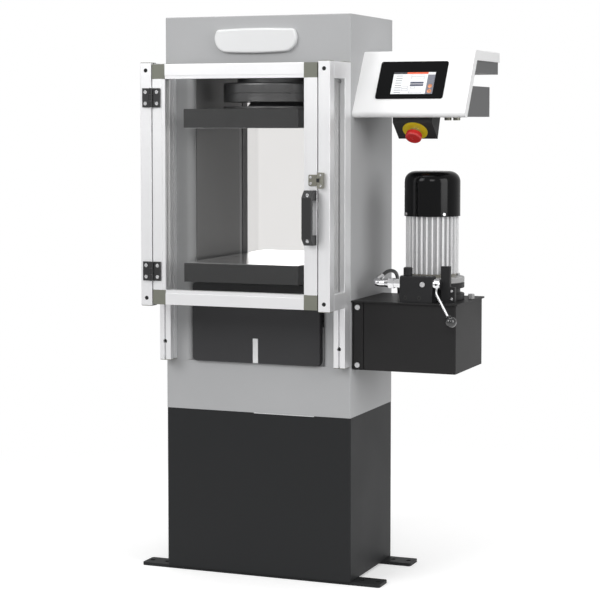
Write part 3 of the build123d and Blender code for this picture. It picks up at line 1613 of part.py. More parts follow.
# Touch screen on the leaning face
screen_rise = screen_foot + screen_height / 2
screen_centre = (
    console_left + screen_inset_x + screen_width / 2,
    face_y(0, console_low + screen_rise * lean_cos),
    console_low + screen_rise * lean_cos,
)
with BuildPart() as touch_screen:
    with BuildSketch(Plane(origin=screen_centre, x_dir=(1, 0, 0), z_dir=(0, -lean_cos, lean_sin))):
        RectangleRounded(screen_width, screen_height, screen_radius)
    extrude(amount=screen_thickness)
    fillet(touch_screen.faces().sort_by(Axis.Y)[0].edges(), screen_thickness / 3)
save(touch_screen.part, "touch_screen")

# Stop button box, a wedge hanging under the console with its face turned down towards the operator
stop_sin = math.sin(math.radians(stop_angle))
stop_cos = math.cos(math.radians(stop_angle))
stop_x = console_left + console_width / 2
stop_y = front_y + stop_box_setback
stop_lip_z = console_low - stop_box_lip
stop_face_end = (stop_y + stop_face * stop_sin, stop_lip_z - stop_face * stop_cos)
stop_plane = Plane(
    origin=(stop_x, (stop_y + stop_face_end[0]) / 2, (stop_lip_z + stop_face_end[1]) / 2),
    x_dir=(1, 0, 0),
    z_dir=(0, -stop_cos, -stop_sin),
)
head_low = stop_disc_thickness + stop_head_rise
with BuildPart() as estop_box:
    with BuildSketch(side_plane(stop_x - stop_box_width / 2)):
        with BuildLine():
            Polyline(
                (stop_y, lower_box[0]),
                (stop_y, stop_lip_z),
                stop_face_end,
                (stop_face_end[0] + stop_box_lean, lower_box[0]),
                close=True,
            )
        make_face()
    extrude(amount=stop_box_width)
    with BuildSketch(stop_plane):
        Circle(stop_neck_d / 2 + stop_gap)
    extrude(amount=-stop_bore_depth, mode=Mode.SUBTRACT)
save(estop_box.part, "estop_box")

with BuildPart() as estop_disc:
    with BuildSketch(stop_plane):
        Circle(stop_disc_d / 2)
        Circle(stop_neck_d / 2 + stop_gap, mode=Mode.SUBTRACT)
    extrude(amount=stop_disc_thickness)
save(estop_disc.part, "estop_disc")

with BuildPart() as estop_plunger:
    with BuildSketch(stop_plane.offset(stop_travel + stop_gap - stop_bore_depth)):
        Circle(stop_neck_d / 2)
    extrude(amount=head_low - stop_head_gap + stop_bore_depth - stop_travel - stop_gap)
    with BuildSketch(stop_plane.offset(head_low - stop_head_gap)):
        Circle(stop_tip_d / 2)
    extrude(amount=stop_head_gap + stop_tip_length)
save(estop_plunger.part, "estop_plunger")

# Mushroom head on the tip of the plunger
with BuildPart() as estop_head:
    with BuildSketch(stop_plane.offset(head_low)):
        Circle(stop_head_d / 2)
    extrude(amount=stop_head_height)
    rims = estop_head.edges().filter_by(GeomType.CIRCLE)
    crown = rims.sort_by_distance(Vertex(*stop_plane.origin))[-1]
    fillet(crown, stop_head_dome)
    with BuildSketch(stop_plane.offset(head_low)):
        Circle(stop_tip_d / 2 + stop_gap / 2)
    extrude(amount=stop_tip_length + stop_gap / 2, mode=Mode.SUBTRACT)
save(estop_head.part, "estop_head")
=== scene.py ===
import json
import math

import bmesh
import bpy
from mathutils import Matrix, Vector


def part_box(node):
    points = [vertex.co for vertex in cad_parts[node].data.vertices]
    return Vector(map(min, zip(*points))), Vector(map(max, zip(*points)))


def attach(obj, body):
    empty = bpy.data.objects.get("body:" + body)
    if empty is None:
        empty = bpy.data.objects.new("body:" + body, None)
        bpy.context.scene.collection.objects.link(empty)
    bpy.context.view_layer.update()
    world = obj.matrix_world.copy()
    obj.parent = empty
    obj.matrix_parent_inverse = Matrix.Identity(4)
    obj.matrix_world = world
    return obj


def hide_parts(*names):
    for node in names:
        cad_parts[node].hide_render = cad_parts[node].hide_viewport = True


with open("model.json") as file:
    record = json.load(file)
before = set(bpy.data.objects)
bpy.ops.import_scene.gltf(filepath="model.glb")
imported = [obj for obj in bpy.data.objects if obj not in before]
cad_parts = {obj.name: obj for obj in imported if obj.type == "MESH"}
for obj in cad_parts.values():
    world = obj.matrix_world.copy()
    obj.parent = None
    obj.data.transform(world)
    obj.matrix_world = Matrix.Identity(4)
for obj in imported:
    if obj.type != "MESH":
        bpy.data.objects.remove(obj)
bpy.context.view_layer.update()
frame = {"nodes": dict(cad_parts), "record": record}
MM = 0.001


# Shader maths
class Wire:
    """A shader value or colour. The operators add Math nodes to its tree."""

    def __init__(self, tree, socket):
        self.tree = tree
        self.socket = socket

    def maths(self, operation, *values):
        node = self.tree.nodes.new("ShaderNodeMath")
        node.operation = operation
        for socket, value in zip(node.inputs, values):
            put(self.tree, socket, value)
        return Wire(self.tree, node.outputs[0])

    def __add__(self, other):
        return self.maths("ADD", self, other)

    def __sub__(self, other):
        return self.maths("SUBTRACT", self, other)

    def __rsub__(self, other):
        return self.maths("SUBTRACT", other, self)

    def __mul__(self, other):
        return self.maths("MULTIPLY", self, other)

    def __truediv__(self, other):
        return self.maths("DIVIDE", self, other)

    def __pow__(self, other):
        return self.maths("POWER", self, other)

    def __gt__(self, other):
        return self.maths("GREATER_THAN", self, other)

    def __lt__(self, other):
        return self.maths("LESS_THAN", self, other)

    __radd__ = __add__
    __rmul__ = __mul__

    def clamp(self):
        node = self.maths("ADD", self, 0.0)
        node.socket.node.use_clamp = True
        return node

    def rise(self, low, high):
        """0 below low, 1 above high, smooth between."""
        t = ((self - low) / (high - low)).clamp()
        return t * t * (3.0 - 2.0 * t)


def put(tree, socket, value):
    if isinstance(value, Wire):
        tree.links.new(value.socket, socket)
    elif socket.type == "RGBA" and len(value) == 3:
        socket.default_value = (*value, 1.0)
    else:
        socket.default_value = value


class Finish:
    """A procedural material under construction."""

    def __init__(self, name):
        self.material = bpy.data.materials.new(name)
        self.material.use_nodes = True
        self.tree = self.material.node_tree
        self.tree.nodes.clear()
        self.place = self.node("TexCoord", output="Object")

    def node(self, kind, settings=None, inputs=None, output=0):
        node = self.tree.nodes.new("ShaderNode" + kind)
        for key, value in (settings or {}).items():
            setattr(node, key, value)
        for key, value in (inputs or {}).items():
            put(self.tree, node.inputs[key], value)
        return Wire(self.tree, node.outputs[output])

    def axes(self):
        split = self.node("SeparateXYZ", inputs={0: self.place})
        return [Wire(self.tree, split.socket.node.outputs[i]) for i in range(3)]

    def noise(self, scale, detail=3.0, stretch=None, roughness=0.5):
        place = self.place
        if stretch:
            place = self.node("Mapping", inputs={"Vector": place, "Scale": stretch})
        inputs = {"Vector": place, "Scale": scale, "Detail": detail, "Roughness": roughness}
        return self.node("TexNoise", inputs=inputs)

    def mix(self, share, first, second):
        """The first colour where share is 0, the second where it is 1."""
        return self.node("Mix", {"data_type": "RGBA"}, {0: share, 6: first, 7: second}, output=2)

    def tones(self, colour, amount, share):
        """The colour, darker by amount where share is 0 and lighter by it where share is 1."""
        dark = [c * (1.0 - amount) for c in colour]
        light = [min(1.0, c * (1.0 + amount)) for c in colour]
        return self.mix(share, dark, light)

    def bump(self, height, distance, normal):
        inputs = {"Height": height, "Distance": distance, "Strength": 1.0, "Normal": normal}
        return self.node("Bump", inputs=inputs)

    def soft_edges(self, radius):
        return self.node("Bevel", {"samples": 4}, {"Radius": radius})

    def edge_mask(self, radius, softened):
        """1 on the sharp edges, 0 on flat ground."""
        flat = self.node("NewGeometry", output="Normal")
        dot = self.node("VectorMath", {"operation": "DOT_PRODUCT"}, {0: softened, 1: flat}, output="Value")
        return (1.0 - dot).rise(0.01, radius)

    def surface(self, **inputs):
        inputs = {key.replace("_", " "): value for key, value in inputs.items()}
        return self.node("BsdfPrincipled", inputs=inputs)

    def done(self, shader):
        out = self.tree.nodes.new("ShaderNodeOutputMaterial")
        self.tree.links.new(shader.socket, out.inputs["Surface"])
        return self.material


# Finishes
def painted(name, colour, roughness=0.45, grain=0.00003, wear=0.25, coat=0.0, shine=0.5):
    """Powder-coated or stoved metal: fine orange peel, faint clouding and lighter rubbed edges."""
    f = Finish(name)
    cloud = f.noise(7.0, 4.0)
    peel = f.noise(620.0, 2.0)
    soft = f.soft_edges(0.0012)
    rub = f.edge_mask(0.25, soft) * f.noise(60.0, 3.0).rise(0.35, 0.75) * wear
    base = f.mix(rub, f.tones(colour, 0.05, cloud), [c * 0.7 + 0.18 for c in colour])
    return f.done(f.surface(
        Base_Color=base,
        Specular_IOR_Level=shine,
        Roughness=roughness + (cloud - 0.5) * 0.12 + peel * 0.04 - rub * 0.1,
        Normal=f.bump(peel, grain, soft),
        Coat_Weight=coat,
        Coat_Roughness=0.08,
    ))


def bare_metal(name, colour, roughness=0.3, stretch=(1.0, 1.0, 0.04), streak=0.08):
    """Machined or drawn metal with fine lines along one direction."""
    f = Finish(name)
    lines = f.noise(900.0, 4.0, stretch)
    stain = f.noise(14.0, 4.0)
    return f.done(f.surface(
        Base_Color=f.tones(colour, streak, lines * 0.6 + stain * 0.4),
        Metallic=1.0,
        Roughness=roughness + (lines - 0.5) * 0.22 + (stain - 0.5) * 0.15,
        Normal=f.bump(lines, 0.000012, f.soft_edges(0.0006)),
    ))


def moulded(name, colour, roughness=0.35, grain=0.00002, coat=0.0, shine=0.5):
    """Moulded plastic or rubber with a fine grain and faint handling marks."""
    f = Finish(name)
    marks = f.noise(35.0, 5.0)
    texture = f.noise(1400.0, 2.0)
    return f.done(f.surface(
        Base_Color=f.tones(colour, 0.08, marks),
        Specular_IOR_Level=shine,
        Roughness=roughness + (marks - 0.5) * 0.16,
        Normal=f.bump(texture, grain, f.soft_edges(0.0008)),
        Coat_Weight=coat,
        Coat_Roughness=0.05,
    ))


def anodised_bar(name, colour):
    """Satin anodised aluminium bar, extruded upright or across."""
    f = Finish(name)
    upright = f.noise(700.0, 3.0, (1.0, 1.0, 0.02))
    across = f.noise(700.0, 3.0, (0.02, 1.0, 1.0))
    lines = upright * 0.5 + across * 0.5
    cloud = f.noise(9.0, 3.0)
    return f.done(f.surface(
        Base_Color=f.tones(colour, 0.04, lines * 0.5 + cloud * 0.5),
        Metallic=0.55,
        Roughness=0.36 + (lines - 0.5) * 0.15 + (cloud - 0.5) * 0.08,
        Normal=f.bump(lines, 0.000008, f.soft_edges(0.0008)),
    ))


def clear_sheet(name, tint, dark_to=None):
    """Clear plastic sheet with faint scratches, turned dark and opaque along the column as far back as
    dark_to.
    """
    f = Finish(name)
    smear = f.noise(5.0, 4.0)
    facing = f.node("LayerWeight", inputs={"Blend": 0.35}, output="Facing")
    body = f.surface(
        Base_Color=f.tones((0.30, 0.31, 0.315), 0.1, smear),
        Roughness=0.06 + smear * 0.05,
    )
    through = f.node("BsdfTransparent", inputs={"Color": tint})
    share = (0.004 + smear * 0.012 + facing ** 3.0 * 0.5).clamp()
    sheet = f.node("MixShader", inputs={0: share, 1: through, 2: body})
    if dark_to:
        # the sheet turns dark and opaque where y is below dark_to; what is dark there on the real machine
        # is not known
        x, y, z = f.axes()
        dark = f.tones((0.085, 0.085, 0.087), 0.1, smear)
        dark_surface = f.surface(Base_Color=dark, Roughness=0.4 + smear * 0.1)
        sheet = f.node("MixShader", inputs={0: (y < dark_to).clamp(), 1: sheet, 2: dark_surface})
    return f.done(sheet)


def ground_platen(name, colour, top_z, down_z):
    """Blackened steel whose working faces, at heights top_z and down_z, are ground bright along x."""
    f = Finish(name)
    x, y, z = f.axes()
    lines = f.noise(700.0, 4.0, (0.05, 1.0, 1.0))
    stain = f.noise(9.0, 5.0, roughness=0.6)
    band = 0.0006
    top_face = (z > top_z - band) * (z < top_z + band)
    down_face = (z > down_z - band) * (z < down_z + band)
    face = top_face + down_face
    ground = f.tones([0.92, 0.92, 0.92], 0.08, lines * 0.5 + stain * 0.5)
    return f.done(f.surface(
        Base_Color=f.mix(face.clamp(), f.tones(colour, 0.15, stain), ground),
        Metallic=0.35 + face * 0.65,
        Roughness=0.42 - face * 0.20 + (stain - 0.5) * 0.12,
        Normal=f.bump(lines, 0.00001, f.soft_edges(0.0012)),
    ))


def turned_steel(name, colour, roughness):
    """Turned steel with fine rings round the loading axis."""
    f = Finish(name)
    x, y, z = f.axes()
    stain = f.noise(20.0, 5.0)
    along = z + (x ** 2.0 + y ** 2.0) ** 0.5
    rings = f.node("TexNoise", {"noise_dimensions": "1D"}, {"W": along, "Scale": 1500.0, "Detail": 2.0})
    return f.done(f.surface(
        Base_Color=f.tones(colour, 0.14, rings * 0.5 + stain * 0.5),
        Metallic=0.85,
        Roughness=roughness + (rings - 0.5) * 0.15 + (stain - 0.5) * 0.15,
        Normal=f.bump(rings, 0.00001, f.soft_edges(0.001)),
    ))


def two_steels(name, where):
    """Bright screws, blackened in the stretches of height that where lists."""
    f = Finish(name)
    x, y, z = f.axes()
    marks = f.noise(900.0, 3.0)
    bands = [(z > low) * (z < high) for low, high in where]
    black = sum(bands[1:], bands[0]).clamp()
    bright_steel = f.tones((0.62, 0.62, 0.63), 0.08, marks)
    black_steel = f.tones((0.03, 0.03, 0.03), 0.2, marks)
    return f.done(f.surface(
        Base_Color=f.mix(black, bright_steel, black_steel),
        Metallic=1.0 - black * 0.6,
        Roughness=0.28 + (marks - 0.5) * 0.2,
        Normal=f.bump(marks, 0.00001, f.soft_edges(0.0005)),
    ))


def finned_casting(name, colour, centre):
    """Bright die-cast fins whose roots are darkened with painted shade, over a grey flange and a taupe end
    shield.
    """
    f = Finish(name)
    x, y, z = f.axes()
    radius = ((x - centre[0]) ** 2.0 + (y - centre[1]) ** 2.0) ** 0.5
    # painted shade: the grey below marks the fins' roots, where shade falls in the gaps between fins; it
    # is not a colour of the casting
    fin_root_shade = radius.rise(0.0572, 0.0625)
    cast = f.noise(260.0, 4.0)
    fins = f.mix(fin_root_shade, [0.42, 0.42, 0.43], f.tones(colour, 0.04, cast))
    shield = f.mix(z < SHIELD_TOP, fins, [0.22, 0.21, 0.18])
    return f.done(f.surface(
        Base_Color=f.mix(z < FLANGE_TOP, shield, [0.40, 0.40, 0.40]),
        Specular_IOR_Level=0.8,
        Roughness=0.30 + (cast - 0.5) * 0.2,
        Normal=f.bump(cast, 0.00004, f.soft_edges(0.0005)),
    ))


GREY = (0.430, 0.434, 0.441)
CHARCOAL = (0.0205, 0.0212, 0.0222)
WHITE = (0.78, 0.785, 0.79)
ANY_WAY = (1.0, 1.0, 1.0)
LOWER_FACE_Z = 0.798
UPPER_FACE_Z = 1.130
MOTOR = (0.420, -0.034)
FLANGE_TOP = 0.7655
SHIELD_TOP = 0.7735

FINISH = {
    "body_paint": painted("body_paint", GREY, 0.42, 0.00003),
    "pedestal_paint": painted("pedestal_paint", CHARCOAL, 0.5, 0.00003, wear=0.1, shine=0.16),
    "liner_paint": painted("liner_paint", (0.18, 0.180, 0.181), 0.30),
    "apron_paint": painted("apron_paint", (0.034, 0.034, 0.036), 0.42, wear=0.1, shine=0.3),
    "badge_paint": painted("badge_paint", WHITE, 0.30, 0.00001, coat=0.4),
    "bar_aluminium": anodised_bar("bar_aluminium", (0.84, 0.84, 0.85)),
    "corner_block": moulded("corner_block", (0.185, 0.190, 0.155), 0.42),
    "window": clear_sheet("window", (0.955, 0.955, 0.952)),
    "hinge_black": painted("hinge_black", (0.014, 0.014, 0.015), 0.34, 0.00002, wear=0.2),
    "screw_steel": bare_metal("screw_steel", (0.62, 0.62, 0.63), 0.26, ANY_WAY),
    "latch_metal": bare_metal("latch_metal", (0.23, 0.225, 0.19), 0.36),
    "keeper_metal": bare_metal("keeper_metal", (0.27, 0.265, 0.23), 0.36),
    "platen_steel": ground_platen("platen_steel", (0.046, 0.046, 0.047), LOWER_FACE_Z, UPPER_FACE_Z),
    "seat_steel": turned_steel("seat_steel", (0.18, 0.18, 0.182), 0.36),
    "bolt_steel": bare_metal("bolt_steel", (0.32, 0.32, 0.33), 0.35, ANY_WAY),
    "cylinder_steel": turned_steel("cylinder_steel", (0.30, 0.30, 0.31), 0.36),
    "ram_chrome": turned_steel("ram_chrome", (0.72, 0.72, 0.74), 0.12),
    "seal_rubber": moulded("seal_rubber", (0.02, 0.02, 0.02), 0.6),
    "tank_paint": painted("tank_paint", (0.024, 0.0235, 0.024), 0.42, 0.00004, wear=0.1, shine=0.12),
    "pump_paint": painted("pump_paint", (0.022, 0.022, 0.023), 0.4, 0.00006, wear=0.15, shine=0.2),
    "motor_aluminium": finned_casting("motor_aluminium", (0.96, 0.96, 0.965), MOTOR),
    "fan_plastic": moulded("fan_plastic", (0.025, 0.025, 0.026), 0.5),
    "fan_cover_paint": painted(
        "fan_cover_paint", (0.003, 0.003, 0.0034), 0.10, 0.000008, wear=0.0, shine=0.2,
    ),
    "valve_paint": painted("valve_paint", (0.018, 0.018, 0.019), 0.36, 0.00004, wear=0.15, shine=0.2),
    "fitting_chrome": bare_metal("fitting_chrome", (0.78, 0.78, 0.79), 0.12, ANY_WAY, streak=0.04),
    "knob_plastic": moulded("knob_plastic", (0.010, 0.010, 0.011), 0.12, 0.000004, coat=0.8),
    "hose_rubber": moulded("hose_rubber", (0.018, 0.018, 0.018), 0.5, 0.00004),
    "cap_plastic": moulded("cap_plastic", (0.42, 0.42, 0.42), 0.3),
    "console_paint": painted("console_paint", (0.97, 0.97, 0.972), 0.34, 0.000014),
    "chassis_paint": painted("chassis_paint", (0.13, 0.131, 0.133), 0.42, shine=0.3),
    "screen_glass": moulded("screen_glass", (0.004, 0.004, 0.0045), 0.10, 0.000002, shine=0.04),
    "stop_box_plastic": moulded("stop_box_plastic", (0.026, 0.026, 0.026), 0.5, 0.00005, shine=0.3),
    "stop_disc_plastic": moulded("stop_disc_plastic", (0.84, 0.66, 0.02), 0.32),
    "stop_neck_steel": bare_metal("stop_neck_steel", (0.62, 0.61, 0.60), 0.28, ANY_WAY),
    "stop_head_plastic": moulded("stop_head_plastic", (0.70, 0.030, 0.028), 0.26, coat=0.3),
}

# Nodes with a finish of their own, by height or depth, in place of their slot's
LINER_REAR_Y = 0.187
BLOCK_SCREWS_Z = [(0.705, 0.80)]
POST_END_SCREWS_Z = [(0.5, 0.72), (1.262, 1.4)]
FINISH["rear_guard"] = clear_sheet("rear_guard_sheet", (0.945, 0.938, 0.935), dark_to=LINER_REAR_Y)
FINISH["pump_unit_screws"] = two_steels("pump_unit_screw_steel", BLOCK_SCREWS_Z)
FINISH["guard_screws"] = two_steels("guard_screw_steel", POST_END_SCREWS_Z)
slot_of = {part["node"]: part["material_slot"] for part in frame["record"]["subparts"]}
for name, node in frame["nodes"].items():
    node.data.materials.clear()
    node.data.materials.append(FINISH.get(name) or FINISH[slot_of[name]])


# Making pieces
def piece(name, mesh, body, slot, material=None, bevel=0.0, segments=3, smooth=True):
    """Links a mesh as a piece that rides on the body and takes its finish from the slot."""
    made = bpy.data.objects.new(name, mesh)
    bpy.context.scene.collection.objects.link(made)
    mesh.materials.append(material or FINISH[slot])
    if smooth:
        mesh.shade_smooth()
    if bevel:
        cut = made.modifiers.new("bevel", "BEVEL")
        cut.width = bevel
        cut.segments = segments
        cut.limit_method = "ANGLE"
        cut.angle_limit = math.radians(30)
        cut.harden_normals = True
    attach(made, body)
    return made


def mesh_of(name, corners, faces):
    mesh = bpy.data.meshes.new(name)
    mesh.from_pydata([tuple(c) for c in corners], [], faces)
    mesh.validate()
    return mesh


def prism(name, outline, thickness, place):
    """A flat outline in the place's XY, thick along its +Z."""
    n = len(outline)
    corners = [place @ Vector((x, y, z)) for z in (0.0, thickness) for x, y in outline]
    sides = [(i, (i + 1) % n, n + (i + 1) % n, n + i) for i in range(n)]
    return mesh_of(name, corners, [tuple(reversed(range(n))), tuple(range(n, 2 * n)), *sides])


def lathe(name, profile, place, steps=40):
    """A closed profile of (radius, height) turned round the place's Z axis."""
    n = len(profile)
    corners = []
    for k in range(steps):
        turn = 2.0 * math.pi * k / steps
        corners += [place @ Vector((r * math.cos(turn), r * math.sin(turn), h)) for r, h in profile]
    faces = []
    for k in range(steps):
        a, b = k * n, (k + 1) % steps * n
        faces += [(a + i, b + i, b + (i + 1) % n, a + (i + 1) % n) for i in range(n)]
    mesh = mesh_of(name, corners, faces)
    work = bmesh.new()
    work.from_mesh(mesh)
    bmesh.ops.remove_doubles(work, verts=work.verts, dist=1e-7)
    bmesh.ops.dissolve_degenerate(work, edges=work.edges, dist=1e-8)
    bmesh.ops.recalc_face_normals(work, faces=work.faces)
    work.to_mesh(mesh)
    work.free()
    return mesh


def rounded(width, height, radius, steps=5):
    """Outline of a rounded rectangle about the origin."""
    points = []
    for k, (sx, sy) in enumerate(((1, 1), (-1, 1), (-1, -1), (1, -1))):
        for i in range(steps + 1):
            turn = math.radians(90.0 * (k + i / steps))
            points.append((
                sx * (width / 2 - radius) + radius * math.cos(turn),
                sy * (height / 2 - radius) + radius * math.sin(turn),
            ))
    return points


def regular(sides, flats):
    """Outline of a regular shape, flats apart across opposite sides."""
    radius = flats / 2 / math.cos(math.pi / sides)
    angles = [2 * math.pi * i / sides for i in range(sides)]
    return [(radius * math.cos(angle), radius * math.sin(angle)) for angle in angles]


def looking(origin, out, up=(0, 0, 1)):
    """Placement at origin whose Z points out and whose Y points as far up as it can."""
    z = Vector(out).normalized()
    x = Vector(up).cross(z).normalized()
    y = z.cross(x)
    turn = Matrix((x, y, z)).transposed().to_4x4()
    return Matrix.Translation(Vector(origin)) @ turn


def socket_head(name, at, out, body, slot, d=6.5 * MM, height=2.2 * MM):
    """Cap screw head with a round socket."""
    r, hex_r = d / 2, d * 0.26
    profile = [(0.0, 0.0), (r, 0.0), (r, height * 0.85), (r * 0.9, height)]
    profile += [(hex_r, height), (hex_r * 0.96, height * 0.4), (0.0, height * 0.35)]
    return piece(name, lathe(name, profile, looking(at, out), 24), body, slot, bevel=d * 0.02, segments=2)


# Pressure hose from the block's elbow round to the port on the body
def pressure_hose():
    route = [
        (306.5, -86.101, 765.164), (306.5, -41.669, 777.070), (308.5, 18.899, 769.164),
        (286.0, 99.0, 738.0), (278.0, 133.0, 706.0), (278.0, 133.0, 676.0),
    ]
    curve = bpy.data.curves.new("pressure_hose_line", "CURVE")
    curve.dimensions = "3D"
    spline = curve.splines.new("NURBS")
    spline.points.add(len(route) - 1)
    for point, at in zip(spline.points, route):
        point.co = (*[c * MM for c in at], 1.0)
    spline.order_u = 3
    spline.use_endpoint_u = True
    spline.resolution_u = 24
    curve.bevel_depth = 4.5 * MM
    curve.bevel_resolution = 6
    curve.use_fill_caps = True
    hose = bpy.data.objects.new("pressure_hose_line", curve)
    bpy.context.scene.collection.objects.link(hose)
    curve.materials.append(FINISH["hose_rubber"])
    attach(hose, "frame")
    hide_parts("pressure_hose")


pressure_hose()


# Screen page on the touch screen, laid out in millimetres across and up the leaning face
LEAN = math.radians(30.5)
FACE_OUT = Vector((0.0, -math.cos(LEAN), math.sin(LEAN)))
FACE_UP = Vector((0.0, math.sin(LEAN), math.cos(LEAN)))
FACE_FOOT = Vector((0.250, -0.154, 1.156))
PAGE = (90.0, 64.5, 196.5, 126.0)


def screen_ink(name, colour):
    """Lit display colour with a faint pixel grid."""
    f = Finish(name)
    grid = f.node("TexChecker", inputs={"Vector": f.place, "Scale": 2600.0}, output="Fac")
    haze = f.noise(30.0, 2.0)
    ink = f.tones(colour, 0.05, grid * 0.6 + haze * 0.4)
    return f.done(f.surface(
        Base_Color=ink,
        Roughness=0.25 + haze * 0.05,
        Emission_Color=ink,
        Emission_Strength=0.12,
    ))


def on_face(u, v, rise):
    """Placement at u across and v up the leaning face, rise above it, all in millimetres."""
    across = Vector((u * MM, 0, 0))
    return looking(FACE_FOOT + across + FACE_UP * v * MM + FACE_OUT * rise * MM, FACE_OUT)


def patches(name, boxes, rise, colour, radius=0.0):
    """Thin raised areas (u0, v0, u1, v1) joined into one piece of one ink."""
    work = bmesh.new()
    for u0, v0, u1, v1 in boxes:
        outline = rounded((u1 - u0) * MM, (v1 - v0) * MM, max(radius, 0.15) * MM, 4)
        patch = prism(name, outline, 0.12 * MM, on_face((u0 + u1) / 2, (v0 + v1) / 2, rise))
        work.from_mesh(patch)
        bpy.data.meshes.remove(patch)
    mesh = bpy.data.meshes.new(name)
    work.to_mesh(mesh)
    work.free()
    return piece(name, mesh, "frame", "screen_glass", screen_ink(name, colour), smooth=False)


def screen_page():
    """A form page: header bar, row marks, entry fields and two round buttons."""
    u0, v0, u1, v1 = PAGE
    bar_v, side_u = v1 - 5.0, u1 - 18.5
    on_glass, on_page, on_field = 2.5, 2.62, 2.74
    rows = [bar_v - 6.0 - 6.7 * i for i in range(8)]
    patches("screen_page", [PAGE], on_glass, (0.78, 0.79, 0.80), 0.5)
    patches("screen_header", [(u0 + 34, bar_v, side_u, v1)], on_page, (0.72, 0.10, 0.03))
    patches("screen_header_dark", [(u0, bar_v, u0 + 34, v1)], on_page, (0.03, 0.03, 0.035))
    patches("screen_side_column", [(side_u, v0, u1, bar_v - 2)], on_page, (0.16, 0.165, 0.20))
    patches("screen_row_marks", [(u0 + 8, v, u0 + 24, v + 1.4) for v in rows], on_page, (0.16, 0.17, 0.20))
    fields = [(u0 + 46, v - 1.2, side_u - 8, v + 3.6) for v in rows[:2]]
    fields += [(u0 + 26, v - 1.2, u0 + 42, v + 3.8) for v in rows[5:7]]
    fields += [(u0 + 46, v0 + 3, side_u - 10, v0 + 8.5), (u0 + 48, rows[5] - 1, u0 + 60, rows[5] + 3)]
    patches("screen_field_frames", fields, on_page, (0.22, 0.23, 0.26), 0.6)
    inner = [(a + 0.7, b + 0.7, c - 0.7, d - 0.7) for a, b, c, d in fields]
    patches("screen_fields", inner, on_field, (0.84, 0.84, 0.85), 0.5)
    picked = [(u0 + 46, v - 1.4, side_u - 8, v + 3.8) for v in rows[3:5]]
    patches("screen_picked_fields", picked, on_page, (0.045, 0.05, 0.09), 1.2)
    buttons = [(side_u + 4.2, v, side_u + 15.2, v + 11.0) for v in (v0 + 2.5, v0 + 16.5)]
    patches("screen_buttons", buttons, on_page, (0.86, 0.34, 0.16), 5.4)


screen_page()


# Sockets under the console
SOCKET_Y = -0.075
CONSOLE_FLOOR_Z = 1.158
NUT_GAP = 0.0001


def console_sockets():
    """Two round sockets with hexagon nuts that hang from the console's floor."""
    shell = [(0.0, 0.0), (9.5, 0.0), (9.5, 1.6), (8.6, 2.4), (8.6, 8.4)]
    shell += [(7.9, 9.0), (6.6, 9.0), (6.6, 3.4), (0.0, 3.4)]
    profile = [(r * MM, h * MM) for r, h in shell]
    for side, x in (("left", 0.472), ("right", 0.494)):
        place = looking((x, SOCKET_Y, CONSOLE_FLOOR_Z), (0, 0, -1), (0, 1, 0))
        socket = lathe(f"console_socket_{side}", profile, place)
        piece(f"console_socket_{side}", socket, "frame", "latch_metal", bevel=0.25 * MM)
        nut_place = place @ Matrix.Translation((0, 0, NUT_GAP))
        nut = prism(f"socket_nut_{side}", regular(6, 21 * MM), 2.2 * MM, nut_place)
        piece(f"socket_nut_{side}", nut, "frame", "latch_metal", bevel=0.4 * MM, smooth=False)


console_sockets()


# Small hardware
FORWARD = (0, -1, 0)
POST_X = 0.235
FRONT_POST_Y = -0.283
REAR_POST_Y = -0.175


def post_caps():
    """Moulded caps on the open ends of the guard posts."""
    front_low, front_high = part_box("left_hinge_post")
    top, foot = front_high.z, front_low.z
    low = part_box("rear_posts")[0].z
    places = [("front_left", -POST_X, FRONT_POST_Y, 0.030, foot)]
    places += [("front_right", POST_X, FRONT_POST_Y, 0.030, foot)]
    places += [("rear_left", -POST_X, REAR_POST_Y, 0.040, low)]
    places += [("rear_right", POST_X, REAR_POST_Y, 0.040, low)]
    for name, x, y, depth, bottom in places:
        for end, z, out in (("top", top, 1), ("foot", bottom, -1)):
            cap = prism(
                f"post_cap_{name}_{end}",
                rounded(0.0292, depth - 0.0008, 0.0022),
                0.0016,
                looking((x, y, z), (0, 0, out), (0, 1, 0)),
            )
            piece(f"post_cap_{name}_{end}", cap, "frame", "corner_block", bevel=0.0005)


def latch_hardware():
    """Screws of the latch plate and its keeper, and the dark mark of the tongue."""
    low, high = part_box("latch_plate")
    mid_z, face_y = (low.z + high.z) / 2, low.y
    for name, step in (("upper", 7.5 * MM), ("lower", -7.5 * MM)):
        at = (low.x + 6 * MM, face_y, mid_z + step)
        socket_head(f"latch_screw_{name}", at, FORWARD, "door", "screw_steel", 6 * MM, 1.4 * MM)
    place = looking((low.x + 24 * MM, face_y, mid_z), FORWARD)
    mark = prism("latch_tongue_mark", rounded(7.5 * MM, 9 * MM, 0.6 * MM), 0.3 * MM, place)
    piece("latch_tongue_mark", mark, "door", "hinge_black", bevel=0.08 * MM)
    low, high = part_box("latch_keeper")
    for name, z in (("upper", high.z - 6 * MM), ("lower", low.z + 6 * MM)):
        at = ((low.x + high.x) / 2 + 2 * MM, low.y, z)
        socket_head(f"keeper_screw_{name}", at, FORWARD, "frame", "screw_steel", 5.4 * MM, 1.2 * MM)


COLUMN_SCREW_X = 0.4965
COLUMN_FRONT_Y = -0.115
BLOCK_PLUG = (0.432, -0.148, 0.753)
HUB_MIDDLE_X = 0.4649
HUB_END_X = 0.4729
HUB_Y = -0.1315
HUB_Z = 0.753
HUB_RADIUS = 0.013


